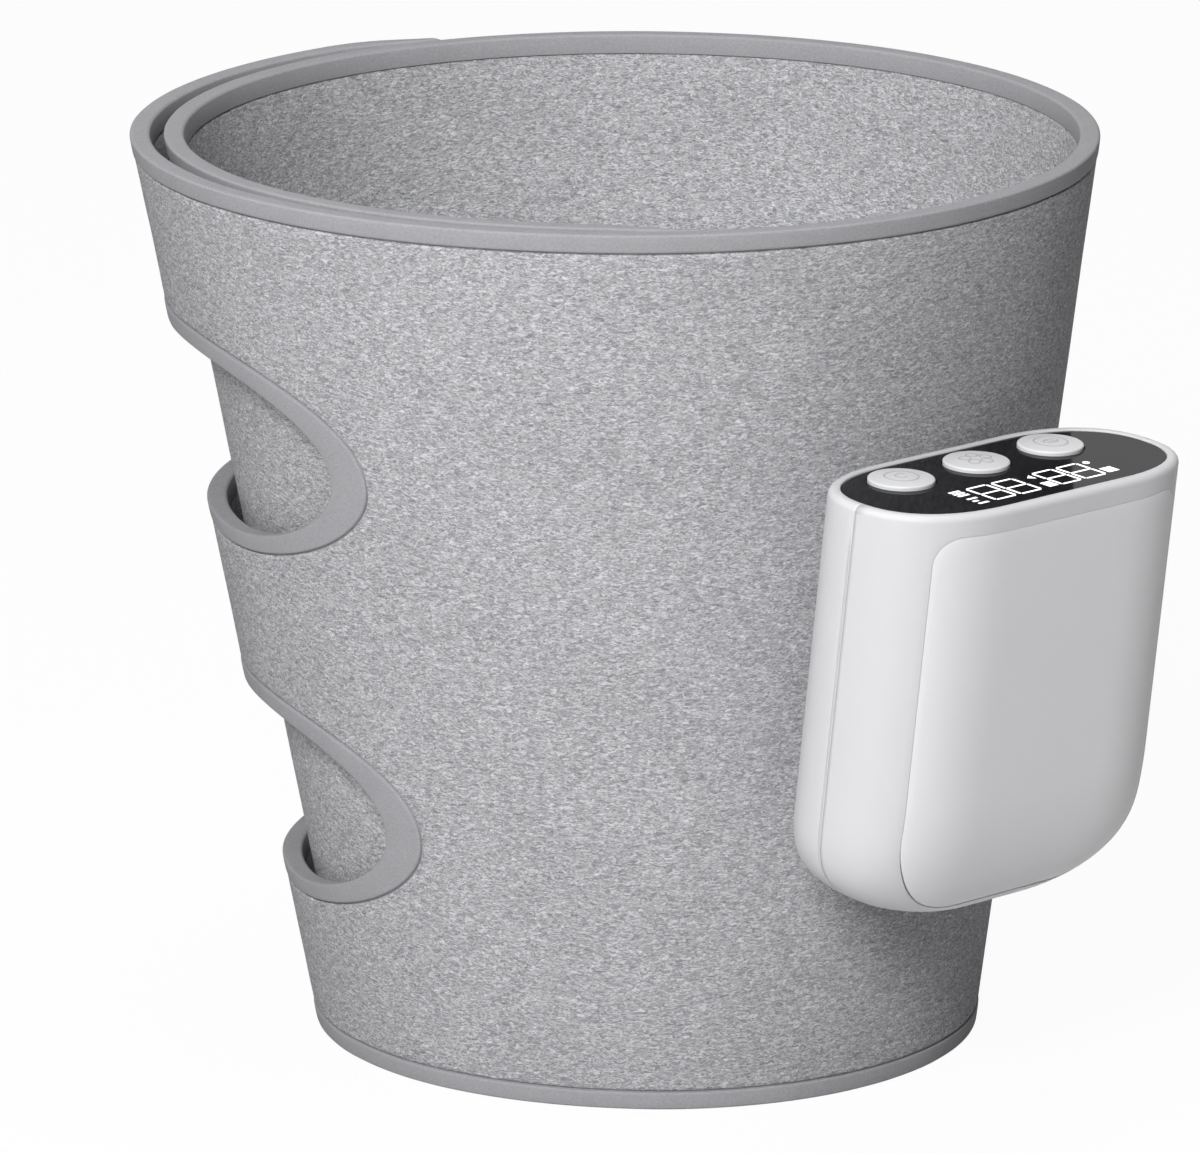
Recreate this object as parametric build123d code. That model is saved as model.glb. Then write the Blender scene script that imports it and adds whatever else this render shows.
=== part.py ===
from build123d import *
import os
from math import atan2, ceil, cos, degrees, radians, sin, sqrt

# A compression therapy pump: a wrapped, felt-covered leg sleeve with an air bladder, and the
# battery-powered pump that is docked on its front.  Millimetres, +Z up.  The origin is the centre
# of the sleeve's base ring, on the surface that the sleeve stands on.  The pump faces -Y.
# "turn" is the angle round the sleeve in degrees, from the pump (0) towards -X.  The wrap starts
# inside its own outer layer, goes once round, and laps over itself by a third of a turn.

# ------------------------------------------------------------------ sleeve: ring and layers
SLEEVE_HEIGHT = 160.0
BASE_RADIUS = 55.8          # outer face of the single layer at the floor
TOP_RADIUS = 80.8           # outer face of the single layer at the top edge
TOP_SHIFT_X = -3.8          # the top ring's centre from the base ring's centre
TOP_SHIFT_Y = 3.4
FABRIC_THICKNESS = 0.6
FOAM_THICKNESS = 1.3
BLADDER_THICKNESS = 0.5     # two welded film sheets, with no air in them
LINING_THICKNESS = 0.8
BINDING_HEIGHT = 3.2        # of the tapes on the top and bottom edges

# ------------------------------------------------------------------ sleeve: the wrap's turns
WRAP_START = 34.0           # turn of the inner end
END_TAPE_ANGLE = 12.0       # turn that the tapered end tape takes up
LAP_START = 47.0            # turn where the outer layer begins to lift off the ring
LAP_FULL = 134.0            # turn where the outer layer is fully lifted
LAP_CLOSE = 184.0           # turn where the outer layer begins to come back
LAP_END = 199.0             # turn of the outer end, on the second time round
TIP_SHARE = 0.4             # thickness left at both ends of the wrap, as a share
INNER_GAP_BASE = 1.1        # between the inner end and the layer over it
INNER_GAP_TOP = 2.0
OUTER_GAP_BASE = 1.5        # between the lap and the layer under it
OUTER_GAP_TOP = 2.7
END_TAPE_CLEARANCE = 0.1
LAP_CLEARANCE = 0.5         # under the outer end
STATION_ANGLE = 5.0         # spacing of the points that the wrap's curves pass through

# ------------------------------------------------------------------ sleeve: notches and tabs
HINGE_TURN = 92.0           # turn of the line where the tabs bend open
HINGE_CLEARANCE = 0.35
ROOT_START = 40.0           # turn on the second time round where the lap's root begins
UPPER_NOTCH_TURN = 86.2     # turn of the upper notch's tip
UPPER_NOTCH_HEIGHT = 111.4  # height of the tip above the floor
UPPER_NOTCH_RISE = 16.4     # from the tip up to the top tab's lower edge
UPPER_NOTCH_RISE_RUN = 42.0
UPPER_NOTCH_FALL = 16.1     # from the tip down to the middle tab's upper edge
UPPER_NOTCH_FALL_RUN = 39.0
LOWER_NOTCH_TURN = 86.7
LOWER_NOTCH_HEIGHT = 47.1
LOWER_NOTCH_RISE = 15.9
LOWER_NOTCH_RISE_RUN = 35.5
LOWER_NOTCH_FALL = 16.6
LOWER_NOTCH_FALL_RUN = 40.0
NOTCH_TAPE_TIP = 7.7        # width of the tape at a notch's tip
NOTCH_TAPE_ABOVE = 3.3      # and along its upper edge
NOTCH_TAPE_BELOW = 2.9      # and along its lower edge
TAB_CORNER = 9.0            # round corners at the tabs' ends
TAB_END_TAPE = 3.2
HOOK_PAD_THICKNESS = 0.8
HOOK_PAD_CLEARANCE = 0.1
HOOK_PAD_START = 112.0      # turns of the hook pads, on the second time round
HOOK_PAD_STOP = 150.0
HOOK_PAD_MARGIN = 6.0       # from the pad to the tab's edges

# ------------------------------------------------------------------ pump: housing
PUMP_X = -4.25
PANEL_HEIGHT = 117.0        # the display panel's middle above the floor
PANEL_TILT = 2.5            # the panel's fall towards the front, in degrees
PANEL_LENGTH = 64.6
PANEL_DEPTH = 28.6
PANEL_STRAIGHT = 26.9       # straight length of the panel's long sides
PANEL_POWER = 2.3           # exponent of the panel's rounded ends
RIM_WIDTH = 2.1
RIM_ROUND = 1.2
HOUSING_HEIGHT = 76.0
HOUSING_CURVE = 17.5        # height of the bottom part, where the sides curve in
HOUSING_POWER = 2.6         # exponent of that curve
REAR_ROUND = 9.0            # rounding of the bottom's rear edge
FRONT_ROUND_DEPTH = 11.8    # front to back, of the longer rounding at the front
FRONT_ROUND_HEIGHT = 25.2
SECTION_ANGLE = 5.6         # between the sections of the rounded bottom, seen from the side
SHELL_WALL = 2.2
COVER_THICKNESS = 1.0
COVER_WIDTH = 56.0
COVER_TOP = 2.5             # from the panel's middle down to the cover's top edge
COVER_RISE = 3.0            # from the housing's bottom up to its lower edge
COVER_TOP_CORNER = 5.0
COVER_BOTTOM_CORNER = 16.0
COVER_SEAM = 0.3

# ------------------------------------------------------------------ pump: panel and buttons
LENS_RECESS = 0.3
LENS_THICKNESS = 1.2
LENS_CLEARANCE = 0.1
LEDGE_WIDTH = 1.2
LEDGE_THICKNESS = 1.2
BUTTON_DIAMETER = 11.4
BUTTON_SPACING = 17.4
BUTTON_ROW_X = -0.3
BUTTON_ROW_Y = 6.6          # towards the sleeve
BUTTON_PROUD = 1.0          # above the panel at its middle
BUTTON_CROWN = 0.3
BUTTON_ROUND = 0.35
BUTTON_CLEARANCE = 0.2
BUTTON_TRAVEL = 0.5
BUTTON_STOP = 0.05          # left under the stem when the button is down
BUTTON_FLANGE = 0.4         # wider than the cap, all round
BUTTON_FLANGE_THICKNESS = 0.8
BUTTON_FLANGE_CLEARANCE = 0.1
BUTTON_STEM_DIAMETER = 3.2
SWITCH_SIZE = 6.0
SWITCH_HEIGHT = 2.5
DISPLAY_LENGTH = 34.0
DISPLAY_DEPTH = 11.4
DISPLAY_X = 0.5
DISPLAY_FRONT = 12.0        # the module's front edge, before the panel's middle
DISPLAY_HEIGHT = 4.5
DISPLAY_CLEARANCE = 0.1      # under the panel
BOARD_THICKNESS = 1.2
BOARD_CLEARANCE = 0.4
BOARD_RIB_WIDTH = 3.0
BOARD_RIB_DEPTH = 2.6
BOARD_RIB_X = 14.0
BOARD_RIB_HEIGHT = 4.0

# ------------------------------------------------------------------ pump: chassis and electrics
CHASSIS_WIDTH = 50.0
CHASSIS_TOP = 11.5          # below the panel's middle
CHASSIS_THICKNESS = 1.6
CHASSIS_FRONT = 1.0         # its front face, behind the housing's middle plane
CHASSIS_MARGIN = 1.0        # from its lower edge up to the battery and the manifold
BATTERY_TOP_MARGIN = 0.5    # from its top edge down to the battery
BATTERY_WIDTH = 40.0
BATTERY_THICKNESS = 7.0
BATTERY_CORNER = 2.0
STANDOFF_HEIGHT = 2.4
STANDOFF_DIAMETER = 3.6
MAIN_BOARD_LEFT = -8.0
MAIN_BOARD_TOP = 7.5        # from the chassis's top edge
MAIN_BOARD_BOTTOM = 1.0     # from its lower edge
CHIPS = [(24.0, 7.5, 7.0, 1.0), (25.0, -2.0, 4.0, 2.4),
         (6.0, 6.0, 5.0, 1.2)]      # from the board's left, top edge above its middle, size, height
SOCKET_WIDTH = 8.9
SOCKET_HEIGHT = 3.2
SOCKET_LENGTH = 7.3
SOCKET_RISE = 0.5           # above the main board's middle
SOCKET_RECESS = 0.5
SOCKET_OVERHANG = 3.7       # from the main board's edge to the socket's mouth
SOCKET_TONGUE_INSET = 1.0
SOCKET_GAP = 0.2
SOCKET_WALL = 0.3
SOCKET_CORNER_FLAT = 0.2
BUZZER_DIAMETER = 9.0
BUZZER_HEIGHT = 2.5
BUZZER_ACROSS = 18.0        # from the main board's left
BUZZER_DROP = 3.0           # below its middle
RIBBON_WIDTH = 10.0
RIBBON_THICKNESS = 0.3
RIBBON_OVERLAP = 3.0
POST_DIAMETER = 5.0
POST_INSET = 2.4            # from the chassis's sides
POST_MARGIN = 3.0           # from its top and lower edges
BOSS_DIAMETER = 5.0
BOSS_TOP_INSET = 6.4        # from the housing's ends
BOSS_TOP = 14.5
BOSS_BOTTOM_X = 12.0
BOSS_BOTTOM_RISE = 7.0      # above the housing's bottom

# ------------------------------------------------------------------ pump: air side
MOTOR_GAP = 1.0             # between the motor's rings and the chassis
MOTOR_CLEARANCE = 0.5       # over the lower bosses
MOTOR_RADIUS = 10.0
MOTOR_LENGTH = 26.0
MOTOR_LEFT = -2.0
MOTOR_WALL = 0.8
MOTOR_CAP = 2.0
ROTOR_RADIUS = 8.2
ROTOR_LENGTH = 15.0
SHAFT_RADIUS = 1.0
BEARING_CLEARANCE = 0.03
RING_RADIUS = 12.0
RING_WIDTH = 4.0
RING_INSET = 3.0            # from each end of the motor
CRADLE_CLEARANCE = 0.05
CRADLE_HEIGHT = 18.0
HEAD_LENGTH = 18.0
HEAD_SIZE = 19.0
HEAD_CAVITY_RADIUS = 7.5
HEAD_CAVITY_LENGTH = 11.0
HEAD_CORNER = 2.0
CRANK_RADIUS = 4.0
CRANK_LENGTH = 3.0
CRANK_OFFSET = 1.2
CRANK_STANDOFF = 1.5        # from the motor's face
DIAPHRAGM_THICKNESS = 1.5
CRANK_CLEARANCE = 0.3       # before the diaphragm's drive boss
NIPPLE_RADIUS = 1.25
NIPPLE_LENGTH = 1.5
HOSE_RADIUS = 2.2
MANIFOLD_SIZE = 10.0
MANIFOLD_CLEARANCE = 0.3    # beside the chassis's posts
MANIFOLD_HEIGHT = 8.0
VALVE_SIZE = 10.0
VALVE_HEIGHT = 13.0
VALVE_BORE_RADIUS = 2.5
VALVE_WALL = 2.0
PLUNGER_RADIUS = 2.3
PLUNGER_LENGTH = 8.0
PLUNGER_SEAT = 0.05
PLUNGER_TRAVEL = 0.8
PLUNGER_PIN_RADIUS = 0.7
PLUNGER_PIN_LENGTH = 1.4
SPRING_WIRE_RADIUS = 0.25
SPRING_RADIUS = 1.4
SPRING_TURNS = 3
SENSOR_SIZE = 8.0
SENSOR_THICKNESS = 5.0
SENSOR_INSET = 2.0          # from the main board's left
PORT_RADIUS = 2.5
PORT_BORE_RADIUS = 1.25

# ------------------------------------------------------------------ dock and fasteners
DOCK_GAP = 2.0              # between the housing's back and the sleeve, at the middle
DOCK_WIDTH = 38.0
DOCK_TOP = 14.0
DOCK_RISE = 10.0            # from the housing's bottom up to the plate
DOCK_CORNER = 6.0
DOCK_SCREW_X = 9.0
DOCK_SCREW_TOP = 8.0        # below the plate's top edge
DOCK_SCREW_BOTTOM = 22.0    # above its lower edge
SCREW_RADIUS = 1.0
SCREW_HEAD_RADIUS = 1.9
SCREW_HEAD_HEIGHT = 1.2
SCREW_BITE = 4.0
DOCK_SCREW_BITE = 1.6
SCREW_END_GAP = 0.2         # left in the bottom of a screw's hole
SHELL_SCREW_SEAT = 8.0      # where the shell screws' heads stand, behind the middle plane
SCREW_CLEARANCE = 0.03

# ------------------------------------------------------------------ worked out from the above
wall = FABRIC_THICKNESS + FOAM_THICKNESS + BLADDER_THICKNESS + LINING_THICKNESS
fabric_depth = FABRIC_THICKNESS / wall
foam_depth = (FABRIC_THICKNESS + FOAM_THICKNESS) / wall
bladder_depth = 1.0 - LINING_THICKNESS / wall
wrap_body_start = WRAP_START + END_TAPE_ANGLE
root_start = 360.0 + ROOT_START
hinge_turn = 360.0 + HINGE_TURN
wrap_end = 360.0 + LAP_END
lap_view = (UPPER_NOTCH_TURN + LAP_END) / 2.0     # turn that the notches are cut along

housing_half_length = PANEL_LENGTH / 2.0 + RIM_WIDTH
housing_half_depth = PANEL_DEPTH / 2.0 + RIM_WIDTH
front_slope = (TOP_RADIUS - BASE_RADIUS - TOP_SHIFT_Y) / SLEEVE_HEIGHT
pump_tilt = degrees(atan2(front_slope, 1.0))
pump_y = (-BASE_RADIUS - front_slope * PANEL_HEIGHT
          - (housing_half_depth + DOCK_GAP) / cos(radians(pump_tilt)))
PUMP = Location((PUMP_X, pump_y, PANEL_HEIGHT), (pump_tilt, 0, 0))
PANEL = Location((0, 0, 0), (PANEL_TILT - pump_tilt, 0, 0))     # seen from the pump's own frame

lens_bottom = LENS_RECESS + LENS_THICKNESS
board_top = lens_bottom + DISPLAY_CLEARANCE + DISPLAY_HEIGHT
top_wall = lens_bottom + LEDGE_THICKNESS
inner_half_depth = housing_half_depth - SHELL_WALL
chassis_back = CHASSIS_FRONT + CHASSIS_THICKNESS
main_board_front = chassis_back + STANDOFF_HEIGHT
main_board_back = main_board_front + BOARD_THICKNESS
cover_bottom = HOUSING_HEIGHT - COVER_RISE
dock_bottom = HOUSING_HEIGHT - DOCK_RISE
motor_depth = HOUSING_HEIGHT - BOSS_BOTTOM_RISE - BOSS_DIAMETER / 2.0 - MOTOR_CLEARANCE - MOTOR_RADIUS
motor_right = MOTOR_LEFT + MOTOR_LENGTH
chassis_bottom = motor_depth - RING_RADIUS - MOTOR_GAP
main_board_top = -CHASSIS_TOP - MAIN_BOARD_TOP
main_board_bottom = -chassis_bottom + MAIN_BOARD_BOTTOM
main_board_middle = (main_board_top + main_board_bottom) / 2.0
socket_z = main_board_middle + SOCKET_RISE
sensor_left = MAIN_BOARD_LEFT + SENSOR_INSET
post_x = CHASSIS_WIDTH / 2.0 - POST_INSET
air_x = -post_x + POST_DIAMETER / 2.0 + MANIFOLD_CLEARANCE + MANIFOLD_SIZE / 2.0
air_y = chassis_back + MANIFOLD_SIZE / 2.0
manifold_middle = chassis_bottom - CHASSIS_MARGIN - MANIFOLD_HEIGHT / 2.0
button_places = [BUTTON_ROW_X + i * BUTTON_SPACING for i in (-1, 0, 1)]


# ================================================================== helpers
def smooth(start, stop, value):
    """A soft step from 0 at start to 1 at stop."""
    t = min(max((value - start) / (stop - start), 0.0), 1.0)
    return t * t * (3.0 - 2.0 * t)


def between(base, top, z):
    """A size that changes evenly from the sleeve's base to its top."""
    return base + (top - base) * z / SLEEVE_HEIGHT


def direction(turn):
    return Vector(-sin(radians(turn)), -cos(radians(turn)), 0)


def along(turn):
    return Vector(-cos(radians(turn)), sin(radians(turn)), 0)


def block(x0, x1, y0, y1, z0, z1):
    size = Box(x1 - x0, y1 - y0, z1 - z0)
    return Pos((x0 + x1) / 2, (y0 + y1) / 2, (z0 + z1) / 2) * size


def rod_x(radius, x0, x1, y=0.0, z=0.0):
    return Pos((x0 + x1) / 2, y, z) * Rot(0, 90, 0) * Cylinder(radius, x1 - x0)


def rod_y(radius, y0, y1, x=0.0, z=0.0):
    return Pos(x, (y0 + y1) / 2, z) * Rot(90, 0, 0) * Cylinder(radius, y1 - y0)


def rod_z(radius, z0, z1, x=0.0, y=0.0):
    return Pos(x, y, (z0 + z1) / 2) * Cylinder(radius, z1 - z0)


def save(name, *pieces):
    """Write one node, as its separate solids."""
    solids = [solid for piece in pieces for solid in piece.solids()]
    body = solids[0] if len(solids) == 1 else Compound(children=solids)
    export_step(body, f"parts/{name}.step")
    print(f"{name}: {len(solids)} solid(s), {sum(s.volume for s in solids):.1f} mm3")


# ================================================================== sleeve
def ring_centre(z):
    return Vector(between(0, TOP_SHIFT_X, z), between(0, TOP_SHIFT_Y, z), z)


def wrap_thickness(turn):
    """The wall, which tapers at both ends of the wrap."""
    opening = smooth(WRAP_START, wrap_body_start, turn)
    closing = 1.0 - smooth(wrap_end - END_TAPE_ANGLE, wrap_end, turn)
    return wall * (TIP_SHARE + (1.0 - TIP_SHARE) * min(opening, closing))


def wrap_lift(turn, z):
    """How far the wrap's outer face stands outside the single ring."""
    if turn < 360.0:
        gap = between(INNER_GAP_BASE, INNER_GAP_TOP, z)
        back = 1.0 - smooth(LAP_START, LAP_FULL, turn)
        end = 1.0 - smooth(WRAP_START, wrap_body_start, turn)
        return -(wall + gap) * back + (gap - END_TAPE_CLEARANCE) * end
    lap = turn - 360.0
    gap = between(OUTER_GAP_BASE, OUTER_GAP_TOP, z)
    gap += (LAP_CLEARANCE - gap) * smooth(LAP_CLOSE, LAP_END, lap)
    return (wrap_thickness(turn) + gap) * smooth(LAP_START, LAP_FULL, lap)


def wrap_point(turn, z, depth=0.0, inward=0.0):
    """A point of the wrap: depth 0 is its outer face and depth 1 its inner face."""
    radius = between(BASE_RADIUS, TOP_RADIUS, z) + wrap_lift(turn, z)
    radius -= wrap_thickness(turn) * depth + inward
    return ring_centre(z) + direction(turn) * radius


def ruled(outlines):
    """A ruled solid between two closed outlines."""
    return Solid.make_loft([Wire(edges) for edges in outlines], True)


def wrap_band(start, stop, low, high, outer=0.0, inner=1.0, outward=0.0, inward=0.0):
    """A stretch of the wrap between two turns, two heights and two depths."""
    steps = max(3, ceil((stop - start) / STATION_ANGLE))
    turns = [start + (stop - start) * i / steps for i in range(steps + 1)]
    outlines = []
    for z in (low, high):
        outside = Spline([wrap_point(turn, z, outer, outward) for turn in turns])
        inside = Spline([wrap_point(turn, z, inner, inward) for turn in turns])
        outlines.append([outside, Line(outside @ 1, inside @ 1), inside, Line(inside @ 0, outside @ 0)])
    return ruled(outlines)


def lap_plane():
    """The upright plane that the notches are drawn on."""
    return Plane(origin=(0, 0, 0), x_dir=along(lap_view), z_dir=-direction(lap_view))


def lap_prism(edges):
    """An outline on the lap's plane, carried outwards through the lap alone."""
    face = make_face(edges)
    return extrude(lap_plane() * face, amount=-2.0 * TOP_RADIUS)


def notch_outline(tip_turn, tip_height, rise, rise_run, fall, fall_run, tape=False):
    """A notch's outline, or that of the tape round it, on the lap's plane."""
    tip_radius = (wrap_point(tip_turn + 360.0, tip_height) - ring_centre(tip_height)).length
    reach = radians(LAP_END - tip_turn) * tip_radius
    lead = NOTCH_TAPE_TIP if tape else 0.0
    rise += NOTCH_TAPE_ABOVE if tape else 0.0
    fall += NOTCH_TAPE_BELOW if tape else 0.0
    corner = TAB_CORNER - (TAB_END_TAPE if tape else 0.0)
    mouth = reach - (TAB_END_TAPE if tape else 0.0)

    def place(run, height):
        turn = 360.0 + tip_turn + degrees(run / tip_radius)
        return Vector(wrap_point(turn, height).dot(along(lap_view)), height)

    def curve(height, length, sign):
        steps = [90.0 * i / 8 for i in range(9)]
        return [place(-lead + (length + lead) * (1 - cos(radians(a))),
                      tip_height + sign * height * sin(radians(a))) for a in steps]

    def flare(height, sign):
        steps = [90.0 * i / 4 for i in range(5)]
        return [place(mouth - corner * (1 - sin(radians(a))),
                      tip_height + sign * (height + corner * (1 - cos(radians(a))))) for a in steps]

    upper = flare(rise, 1)
    lower = flare(fall, -1)
    tip = Spline(list(reversed(curve(rise, rise_run, 1))) + curve(fall, fall_run, -1)[1:])
    past = place(reach, tip_height).X + TAB_CORNER
    return [tip,
            Line(tip @ 0, upper[0]), Spline(upper),
            Polyline([upper[-1], (past, upper[-1].Y), (past, lower[-1].Y), lower[-1]]),
            Spline(lower), Line(lower[0], tip @ 1)]


UPPER_NOTCH = (UPPER_NOTCH_TURN, UPPER_NOTCH_HEIGHT, UPPER_NOTCH_RISE, UPPER_NOTCH_RISE_RUN,
               UPPER_NOTCH_FALL, UPPER_NOTCH_FALL_RUN)
LOWER_NOTCH = (LOWER_NOTCH_TURN, LOWER_NOTCH_HEIGHT, LOWER_NOTCH_RISE, LOWER_NOTCH_RISE_RUN,
               LOWER_NOTCH_FALL, LOWER_NOTCH_FALL_RUN)
notches = [lap_prism(notch_outline(*notch)) for notch in (UPPER_NOTCH, LOWER_NOTCH)]
tapes = [lap_prism(notch_outline(*notch, tape=True)) for notch in (UPPER_NOTCH, LOWER_NOTCH)]


def cut_by(shape, tools):
    for tool in tools:
        shape = shape - tool
    return shape


def sleeve_layer(outer, inner, lap_inner=None):
    """One layer of the wall, between the edge tapes, with the notches' tapes left free."""
    low, high = BINDING_HEIGHT, SLEEVE_HEIGHT - BINDING_HEIGHT
    ring = wrap_band(wrap_body_start, root_start, low, high, outer, inner)
    root = wrap_band(root_start, hinge_turn, low, high, outer, lap_inner or inner)
    return ring + cut_by(root, tapes)


def edge_tape(low, high):
    ring = wrap_band(wrap_body_start, root_start, low, high)
    root = wrap_band(root_start, hinge_turn, low, high)
    return ring + root


def bulk(inset=0.0):
    """The solid cone inside the single ring's outer face."""
    circles = [[Pos(ring_centre(z)) * Circle(between(BASE_RADIUS, TOP_RADIUS, z) - inset).edge()]
               for z in (0.0, SLEEVE_HEIGHT)]
    return ruled(circles)


def tab(low, high):
    """One tab of the lap: its laminated wall, its tape and its hook pad."""
    start = hinge_turn + degrees(HINGE_CLEARANCE / BASE_RADIUS)
    whole = cut_by(wrap_band(start, wrap_end, low, high), notches)
    tape_turn = wrap_end - degrees(TAB_END_TAPE / between(BASE_RADIUS, TOP_RADIUS, (low + high) / 2))
    floor = BINDING_HEIGHT if low == 0.0 else low
    ceiling = SLEEVE_HEIGHT - BINDING_HEIGHT if high == SLEEVE_HEIGHT else high
    sides = [wrap_point(tape_turn, z).dot(along(lap_view)) for z in (floor, ceiling)]
    far = -2.0 * TOP_RADIUS
    window = Polyline([(far, floor), (sides[0], floor), (sides[1], ceiling), (far, ceiling)], close=True)
    window = cut_by(lap_prism([window]), tapes)
    felt = whole & window
    tape = whole - window
    return felt, tape


def hook_pad(low, high):
    """A thin pad of hooks on a tab's inner face."""
    return wrap_band(360.0 + HOOK_PAD_START, 360.0 + HOOK_PAD_STOP, low, high, 1.0, 1.0,
                     HOOK_PAD_CLEARANCE, HOOK_PAD_THICKNESS)


def make_sleeve():
    save("outer_fabric", cut_port(sleeve_layer(0.0, fabric_depth)))
    save("foam_pad", cut_port(sleeve_layer(fabric_depth, foam_depth, bladder_depth)))
    bladder = wrap_band(wrap_body_start, root_start, BINDING_HEIGHT,
                        SLEEVE_HEIGHT - BINDING_HEIGHT, foam_depth, bladder_depth)
    save("air_bladder", bladder)
    save("lining", sleeve_layer(bladder_depth, 1.0))
    save("top_binding", edge_tape(SLEEVE_HEIGHT - BINDING_HEIGHT, SLEEVE_HEIGHT))
    save("bottom_binding", edge_tape(0.0, BINDING_HEIGHT))
    save("inner_end_binding", wrap_band(WRAP_START, wrap_body_start, 0.0, SLEEVE_HEIGHT))
    root = wrap_band(root_start, hinge_turn, BINDING_HEIGHT, SLEEVE_HEIGHT - BINDING_HEIGHT)
    save("notch_binding", *[(root & tape) - notch for tape, notch in zip(tapes, notches)])


def make_tabs():
    edges = {"top": (UPPER_NOTCH_HEIGHT, SLEEVE_HEIGHT),
             "middle": (LOWER_NOTCH_HEIGHT, UPPER_NOTCH_HEIGHT),
             "bottom": (0.0, LOWER_NOTCH_HEIGHT)}
    top_edge = UPPER_NOTCH_HEIGHT + UPPER_NOTCH_RISE + NOTCH_TAPE_ABOVE
    middle = (LOWER_NOTCH_HEIGHT + LOWER_NOTCH_RISE + NOTCH_TAPE_ABOVE,
              UPPER_NOTCH_HEIGHT - UPPER_NOTCH_FALL - NOTCH_TAPE_BELOW)
    bottom_edge = LOWER_NOTCH_HEIGHT - LOWER_NOTCH_FALL - NOTCH_TAPE_BELOW
    pads = {"top": (top_edge, SLEEVE_HEIGHT - BINDING_HEIGHT), "middle": middle,
            "bottom": (BINDING_HEIGHT, bottom_edge)}
    for name, (low, high) in edges.items():
        felt, tape = tab(low, high)
        save(f"{name}_tab", felt)
        save(f"{name}_tab_binding", tape)
        pad_low, pad_high = pads[name]
        save(f"{name}_hook_pad", hook_pad(pad_low + HOOK_PAD_MARGIN, pad_high - HOOK_PAD_MARGIN))


# ================================================================== pump housing
def rounded_end(half_straight, end, front, rear, sign):
    """A superellipse end of the panel's and the housing's outline."""
    points = []
    for i in range(13):
        angle = radians(-90.0 + 15.0 * i)
        x = half_straight + end * max(cos(angle), 0.0) ** (2.0 / PANEL_POWER)
        y = abs(sin(angle)) ** (2.0 / PANEL_POWER) * (rear if sign * angle > 0 else -front)
        points.append((sign * x, y))
    return Spline(points, tangents=[(sign, 0), (-sign, 0)])


def oval(half_length, front, rear):
    """The closed outline of the housing, as edges."""
    half_straight = PANEL_STRAIGHT / 2.0 * half_length / housing_half_length
    end = half_length - half_straight
    right = rounded_end(half_straight, end, front, rear, 1)
    left = rounded_end(half_straight, end, front, rear, -1)
    return [right, Line(right @ 1, left @ 0), left, Line(left @ 1, right @ 0)]


def panel_oval(inset):
    """The panel's outline, inset or outset evenly."""
    straight = PANEL_STRAIGHT / 2.0
    end = PANEL_LENGTH / 2.0 - straight - inset
    half_depth = PANEL_DEPTH / 2.0 - inset
    right = rounded_end(straight, end, half_depth, half_depth, 1)
    left = rounded_end(straight, end, half_depth, half_depth, -1)
    return make_face([right, Line(right @ 1, left @ 0), left, Line(left @ 1, right @ 0)])


def panel_slab(face, top, bottom):
    """A face in the panel's plane carried from one depth to another."""
    return PANEL * Pos(0, 0, -bottom) * extrude(face, amount=bottom - top)


def half_depth_at(depth, inset, across, height):
    """From the housing's middle plane to its front or back, whose bottom edge has that rounding."""
    dip = max(depth - (HOUSING_HEIGHT - height), 0.0) / (height - inset)
    return housing_half_depth - inset - (across - inset) * (1.0 - sqrt(1.0 - dip ** 2))


def housing(inset):
    """The housing's outer form, set in evenly, from above the panel to its rounded bottom."""
    curve = HOUSING_CURVE - inset
    bend = FRONT_ROUND_HEIGHT - inset
    bottom = HOUSING_HEIGHT - inset
    angles = [radians(SECTION_ANGLE * i) for i in range(int(90.0 / SECTION_ANGLE))]
    depths = [bottom - bend * (1.0 - sin(angle)) for angle in angles]
    wires = []
    for depth in [-2.0 * RIM_WIDTH] + depths:
        drop = max(depth - bottom + curve, 0.0) / curve
        narrowing = (1.0 - drop ** HOUSING_POWER) ** (1.0 / HOUSING_POWER)
        front = half_depth_at(depth, inset, FRONT_ROUND_DEPTH, FRONT_ROUND_HEIGHT)
        rear = half_depth_at(depth, inset, REAR_ROUND, REAR_ROUND)
        outline = oval((housing_half_length - inset) * narrowing, front, rear)
        wires.append([Pos(0, 0, -depth) * edge for edge in outline])
    return ruled(wires)


def above_panel(depth):
    """All the space above a depth under the rim's top."""
    return PANEL * block(-HOUSING_HEIGHT, HOUSING_HEIGHT, -HOUSING_HEIGHT, HOUSING_HEIGHT,
                         -depth, HOUSING_HEIGHT)


def rim_edges(outer):
    """The edges round the top of the housing, in the panel's plane."""
    slope = radians(PANEL_TILT - pump_tilt)
    normal = Vector(0, -sin(slope), cos(slope))
    return [edge for edge in outer.edges()
            if all(abs((edge @ share).dot(normal)) < 0.01 for share in (0.0, 0.5, 1.0))]


def end_face_x(y, inset=0.0):
    """Where the housing's right end is, at a distance y from its middle plane."""
    half_length = housing_half_length - inset
    half_straight = PANEL_STRAIGHT / 2.0 * half_length / housing_half_length
    share = 1.0 - (abs(y) / (housing_half_depth - inset)) ** PANEL_POWER
    return half_straight + (half_length - half_straight) * share ** (1.0 / PANEL_POWER)


def cover_zone(seam):
    """The space on the housing's front that the cover takes, less a seam all round."""
    width = COVER_WIDTH - 2.0 * seam
    height = cover_bottom - COVER_TOP - 2.0 * seam
    outline = Pos(0, -(COVER_TOP + cover_bottom) / 2.0) * Rectangle(width, height)
    outline = fillet(outline.vertices().sort_by(Axis.Y)[2:], COVER_TOP_CORNER - seam)
    outline = fillet(outline.vertices().sort_by(Axis.Y)[:2], COVER_BOTTOM_CORNER - seam)
    front = Plane.XZ.offset(SHELL_WALL)
    return extrude(front * outline, amount=2.0 * housing_half_depth)


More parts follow.
